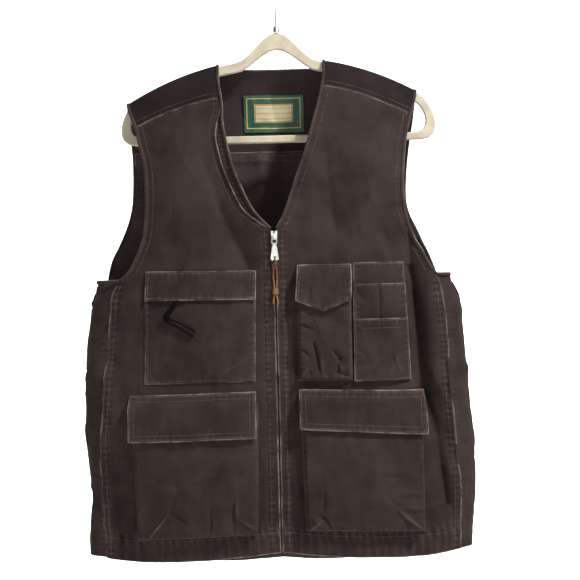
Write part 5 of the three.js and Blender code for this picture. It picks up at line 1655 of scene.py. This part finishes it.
# Chest pocket with a pointed flap
def gusset_lift(mouth, stand, size, run):
    def lift(u, v):
        side = np.minimum(u, 1 - u) * size[0]
        foot = (1 - v) * size[1]
        rise = lerp(mouth, stand, np.sin(v * math.pi / 2))
        return LAY + POCKET_CLOTH + rise * np.sqrt(eased(side / run) * eased(foot / run))

    return lift


def flap_lift(over):
    root = LAY + FLAP_CLOTH
    rise = over + POCKET_CLOTH + LAY + 2.6
    return lambda u, v: root + rise * eased(v / 0.3) * (1 + 0.3 * v)


FLAP_POCKET_MARKS = [
    (2, 68, 18, 75, 2.0, -3.2, 0.0),
    (3, 101, 14, 111, 2.0, -3.2, 0.0),
    (21, 95, 28, 128, 2.2, -5.4, 0.0),
    (30, 116, 32, 134, 2.0, 3.5, 1.5),
    (48, 106, 56, 115, 2.2, -4.1, 0.0),
    (56, 115, 52, 134, 2.2, -5.4, 0.0),
    (52, 134, 70, 140, 2.2, -4.1, 0.0),
    (54, 119, 57, 130, 1.8, 3.2, 1.2),
    (3, 141, 10, 129, 1.8, 2.7, 1.5),
    (10, 129, 17, 130, 1.8, 2.7, 1.2),
    (14, 127, 17, 141, 2.0, -3.2, 0.0),
]
FLAP_MARKS = [(33, 0, 33, 17, 2.0, -1.9, 0.0), (17, 30, 17, 52, 2.0, -2.2, 0.0)]
FLAP_POCKET_SIZE = (73.0, 145.0)
flap_pocket = Patch(
    patch_place(
        FLAP_POCKET["sign"],
        FLAP_POCKET["inner"],
        FLAP_POCKET["inner"],
        FLAP_POCKET["outer"],
        FLAP_POCKET["outer"],
        lerp(FLAP_POCKET["top"], FLAP_POCKET["flap_foot"], FLAP_ROOT),
        FLAP_POCKET["foot"],
    ),
    gusset_lift(5.0, 9.0, FLAP_POCKET_SIZE, 4.5),
    FLAP_POCKET_SIZE,
    POCKET_CLOTH,
    461,
    crush=0.45,
    marks=FLAP_POCKET_MARKS,
)
flap_pocket.sew(
    "flap_pocket_canvas", "canvas", ["chest_flap_pocket"], 1.3, "blr", "blr", (1.6,)
)


def flap_place(u, v):
    p = FLAP_POCKET
    inner, outer = lerp(p["flap_inner"], p["flap_inner_foot"], v), lerp(p["flap_outer"], p["flap_outer_foot"], v)
    foot = lerp(p["point"], p["flap_foot"], np.abs(2 * u - 1))
    return BODY_HALF * lerp(inner, outer, u), height_of(lerp(p["top"], foot, v))


chest_flap = Patch(flap_place, flap_lift(5.0), (72.0, 54.0), FLAP_CLOTH, 479, crush=0.4, pucker=0.4, marks=FLAP_MARKS)
chest_flap.sew(
    "chest_flap_canvas", "canvas", ["chest_pocket_flap"], 1.4, "tblr", "tblr"
)

# Stepped tool pockets, each layer on the one behind it
TOOL_MARKS = {
    0: [],
    1: [(5, 10, 16, 24, 2.4, -1.6, 0.0)],
    2: [
        (55, 50, 55, 60, 2.0, 2.3, 0.9),
        (55, 60, 43, 77, 2.0, 2.1, 0.8),
        (55, 60, 62, 75, 2.0, 2.1, 0.8),
        (62, 40, 72, 40, 1.8, 1.8, 0.6),
        (62, 50, 72, 50, 1.8, -1.8, 0.0),
        (18, 77, 35, 60, 2.0, -2.1, 0.0),
        (5, 40, 16, 52, 2.0, -2.1, 0.0),
    ],
}
TIER_HEM = 12.5  # down from the front tier's top to its second row of stitches
tool_width = (TOOL["outer"] + TOOL["outer_foot"] - TOOL["inner"] - TOOL["inner_foot"]) * BODY_HALF / 2
divider = (TOOL["divider"] - TOOL["inner"]) * BODY_HALF / tool_width
tool_place = patch_place(**{key: value for key, value in TOOL.items() if key != "divider"})


def tool_tier(name, top, layer):
    start = (top - TOOL["top"]) / (TOOL["foot"] - TOOL["top"])
    length = (TOOL["foot"] - top) * BODY_LENGTH

    def lift(u, v):
        base = LAY + POCKET_CLOTH + layer * (POCKET_CLOTH + LAY)
        pinch = 1 - 0.75 * np.exp(-(((u - divider) * tool_width / 4) ** 2)) * (layer == 1)
        return base + np.sin(u * math.pi) * (1.2 + 2.5 * layer * np.sqrt(np.clip(1 - v * v, 0, 1))) * pinch

    tier = Patch(
        lambda u, v: tool_place(u, lerp(start, 1, v)),
        lift,
        (tool_width, length),
        POCKET_CLOTH,
        503 + 20 * layer,
        crush=0.2 + 0.15 * layer,
        pucker=0.4,
        marks=TOOL_MARKS[layer],
    )
    sides = "tblr" if layer == 2 else "tlr"
    tier.sew(name + "_canvas", "canvas", [name], 1.6, "tblr", sides, (2.4,))
    if layer == 1:
        v = np.linspace(0.03, (TOOL_TIERS[2][1] - top) / (TOOL["foot"] - top), 24)
        pocket_stitches.append(tier.face(divider + 0 * v, v, 0.15)[0])
    if layer == 2:
        pocket_stitches.append(tier.line("t", TIER_HEM))
        v = np.linspace(0.02, TIER_HEM / length, 8)
        pocket_stitches.append(tier.face(divider + 0 * v, v, 0.15)[0])


for name, top, layer in TOOL_TIERS:
    tool_tier(name, top, layer)

# Cargo pockets with their flaps
CARGO_MARKS = {
    "right": [
        (93, 107, 21, 90, 1.6, -2.1, 0.0),
        (161, 181, 124, 141, 1.8, 3.1, 3.0),
        (124, 141, 113, 117, 2.0, -3.4, 0.0),
        (124, 141, 100, 158, 2.4, -2.9, 0.0),
        (67, 139, 67, 172, 2.2, -3.1, 0.0),
        (35, 135, 35, 172, 2.2, -3.9, 0.0),
        (30, 129, 30, 153, 1.8, 2.6, 1.9),
        (25, 155, 2, 169, 1.8, 3.1, 3.0),
        (115, 98, 115, 110, 7.0, -2.1, 0.0),
    ],
    "left": [
        (4, 177, 23, 162, 1.8, 2.9, 2.7),
        (28, 126, 25, 151, 2.0, -3.9, 0.0),
        (21, 156, 28, 162, 2.2, -3.9, 0.0),
        (28, 162, 35, 177, 2.2, -3.9, 0.0),
        (35, 177, 72, 178, 2.2, -2.6, 0.0),
        (11, 160, 23, 170, 2.0, 2.3, 1.1),
        (129, 148, 164, 177, 2.2, 3.6, 3.0),
        (129, 123, 160, 123, 2.0, 2.1, 0.9),
        (133, 131, 160, 131, 2.0, -2.1, 0.0),
        (135, 143, 160, 143, 2.0, 2.1, 0.9),
        (137, 151, 160, 151, 2.0, -2.1, 0.0),
        (103, 102, 140, 102, 1.2, -1.8, 0.0),
    ],
}


def cargo_pocket(side, p):
    mouth = lerp(p["top"], p["flap_foot"], FLAP_ROOT)
    mouth_outer = lerp(p["top_outer"], p["flap_foot_outer"], FLAP_ROOT)
    size = ((p["outer"] - p["inner"]) * BODY_HALF, (p["foot"] - mouth) * BODY_LENGTH)
    bag = Patch(
        patch_place(
            p["sign"],
            p["inner"],
            p["inner_foot"],
            p["outer"],
            p["outer_foot"],
            mouth,
            p["foot"],
            mouth_outer,
            p["foot_outer"],
        ),
        gusset_lift(6.0, 13.0, size, 6.0),
        size,
        POCKET_CLOTH,
        557 + p["sign"],
        crush=0.5,
        marks=CARGO_MARKS[side],
    )
    name = "cargo_pocket_" + side
    bag.sew(name + "_canvas", "canvas", [name], 1.8, "blr", "blr", (1.6,))
    inner, outer = p["flap_inner"], p["flap_outer"]
    flap = Patch(
        patch_place(
            p["sign"], inner, inner, outer, outer, p["top"], p["flap_foot"], p["top_outer"], p["flap_foot_outer"]
        ),
        flap_lift(6.0),
        ((outer - inner) * BODY_HALF, (p["flap_foot"] - p["top"]) * BODY_LENGTH),
        FLAP_CLOTH,
        601 + p["sign"],
        crush=0.4,
        pucker=0.4,
    )
    name = "cargo_flap_" + side
    flap.sew(name + "_canvas", "canvas", [name], 1.8, "tblr", "tblr", (2.4, 8.0))


for side, p in CARGO.items():
    cargo_pocket(side, p)


# Label on the inside of the back yoke
def neck_label():
    u, v = np.meshgrid(shares(LABEL_WIDTH, 2.4), shares(LABEL_HEIGHT, 2.4))
    x = 2.5 + LABEL_WIDTH * (u - 0.5)
    z = NECK_TOP - 42.0 - v * LABEL_HEIGHT
    points, _ = on_body(x, z, "back", -(CLOTH + 1.5) + 0 * x)
    points = points + np.array([0, -1, 0]) * (0.5 * noise(x / 13, z / 13, 701))[..., None]
    made = cloth("neck_label_satin", points, 0.8, label_material(), None, "", flip=True)
    sewn_sheet(made, "label", ["neck_label"])


neck_label()


# Topstitching
def surface_line(x, z, side, lift):
    return on_body(np.asarray(x, float), np.asarray(z, float), side, lift + 0 * np.asarray(x, float))[0]


def stitched(name, runs):
    sizes = {"Pitch": 3.1 * MM, "Stitch Length": 2.5 * MM, "Thread": 0.75 * MM}
    belongs(grown(name, runs, stitches, {**sizes, "Material": thread}), "canvas")


def front_stitching():
    runs = []
    for sign in (-1.0, 1.0):
        x = np.linspace(sign * 4, sign * BODY_HALF * 0.885, 160)
        runs.append(surface_line(x, front_hem_z(x) + HEM - 2, "front", 0.25))
        z = np.linspace(ZIP_TOP - 4, HEM_Z + 12, 260)
        inset = 10.0 if sign < 0 else 8.0
        runs.append(surface_line(sign * (ZIP_SLIT / 2 + inset) + 0 * z, z, "front", 0.25))
        z = np.linspace(ARMHOLE_FOOT - 6, HEM_Z + 3, 240)
        for inset, lift in ((2.0, LAP_LIFT), (8.0, 0.5)):
            runs.append(surface_line(front_edge_x(sign, z) - sign * (inset - SIDE_LAP), z, "front", lift + 0.25))
        x = np.linspace(sign * (NECK_HALF + 3), sign * BODY_HALF * 0.72, 90)
        for rise in (1.5, 8.0):
            runs.append(surface_line(x, front_seam_z(x) - 1.0 + rise, "front", 0.4))
        z = np.linspace(NECK_TOP - 50, ZIP_TOP + 6, 130)
        inset = 9.0 + front_recess(sign, z)
        runs.append(surface_line(neck_edge_x(sign, z) + sign * inset, z, "front", 0.3))
        drops = np.linspace(0.14, 0.97, 150)
        z = lerp(float(shoulder_z(sign * 200.0)), ARMHOLE_FOOT, drops)
        runs.append(surface_line(front_edge_x(sign, z) - sign * 8.0, z, "front", 0.3))
    stitched("front_topstitching", runs)


front_stitching()


def back_stitching():
    runs = []
    x = np.linspace(-BODY_HALF * 0.89, BODY_HALF * 0.89, 240)
    runs.append(surface_line(x, back_hem_z(x) + HEM - 2, "back", 0.25))
    x = np.linspace(-BODY_HALF * 0.71, BODY_HALF * 0.69, 240)
    for rise in (-7.0, 0.0):
        runs.append(surface_line(x, BACK_SEAM_Z + rise + 0 * x, "back", 0.3))
        runs.append(surface_line(x, BACK_SEAM_Z + rise + 0 * x, "back", -(2 * CLOTH + 0.6)))
    for sign in (-1.0, 1.0):
        z = np.linspace(ARMHOLE_FOOT - 6, HEM_Z + 3, 240)
        for inset, lift in ((2.0, LAP_LIFT), (8.0, 0.5)):
            runs.append(surface_line(back_edge_x(sign, z) - sign * (inset - SIDE_LAP), z, "back", lift + 0.25))
    stitched("back_topstitching", runs)


back_stitching()
stitched("pocket_topstitching", pocket_stitches)
tack_sizes = {"Pitch": 0.9 * MM, "Stitch Length": 1.4 * MM, "Thread": 0.8 * MM}
belongs(grown("bar_tacks", bar_tacks, stitches, {**tack_sizes, "Material": thread}), "canvas")


# Slider, link and tab: the frame's own solids with their metal
for node, material in (
    ("zip_slider", nickel),
    ("zip_pull_link", nickel),
    ("zip_pull_tab", nickel),
    ("hanger_collar", nickel),
    ("hanger_hook", nickel),
    ("hanger_frame", flocking),
    ("zip_lace_knot", leather),
    ("zip_lace_wrap", leather),
    ("pull_cord_knot", black_cord),
):
    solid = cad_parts[node]
    solid.data.materials.clear()
    solid.data.materials.append(material)
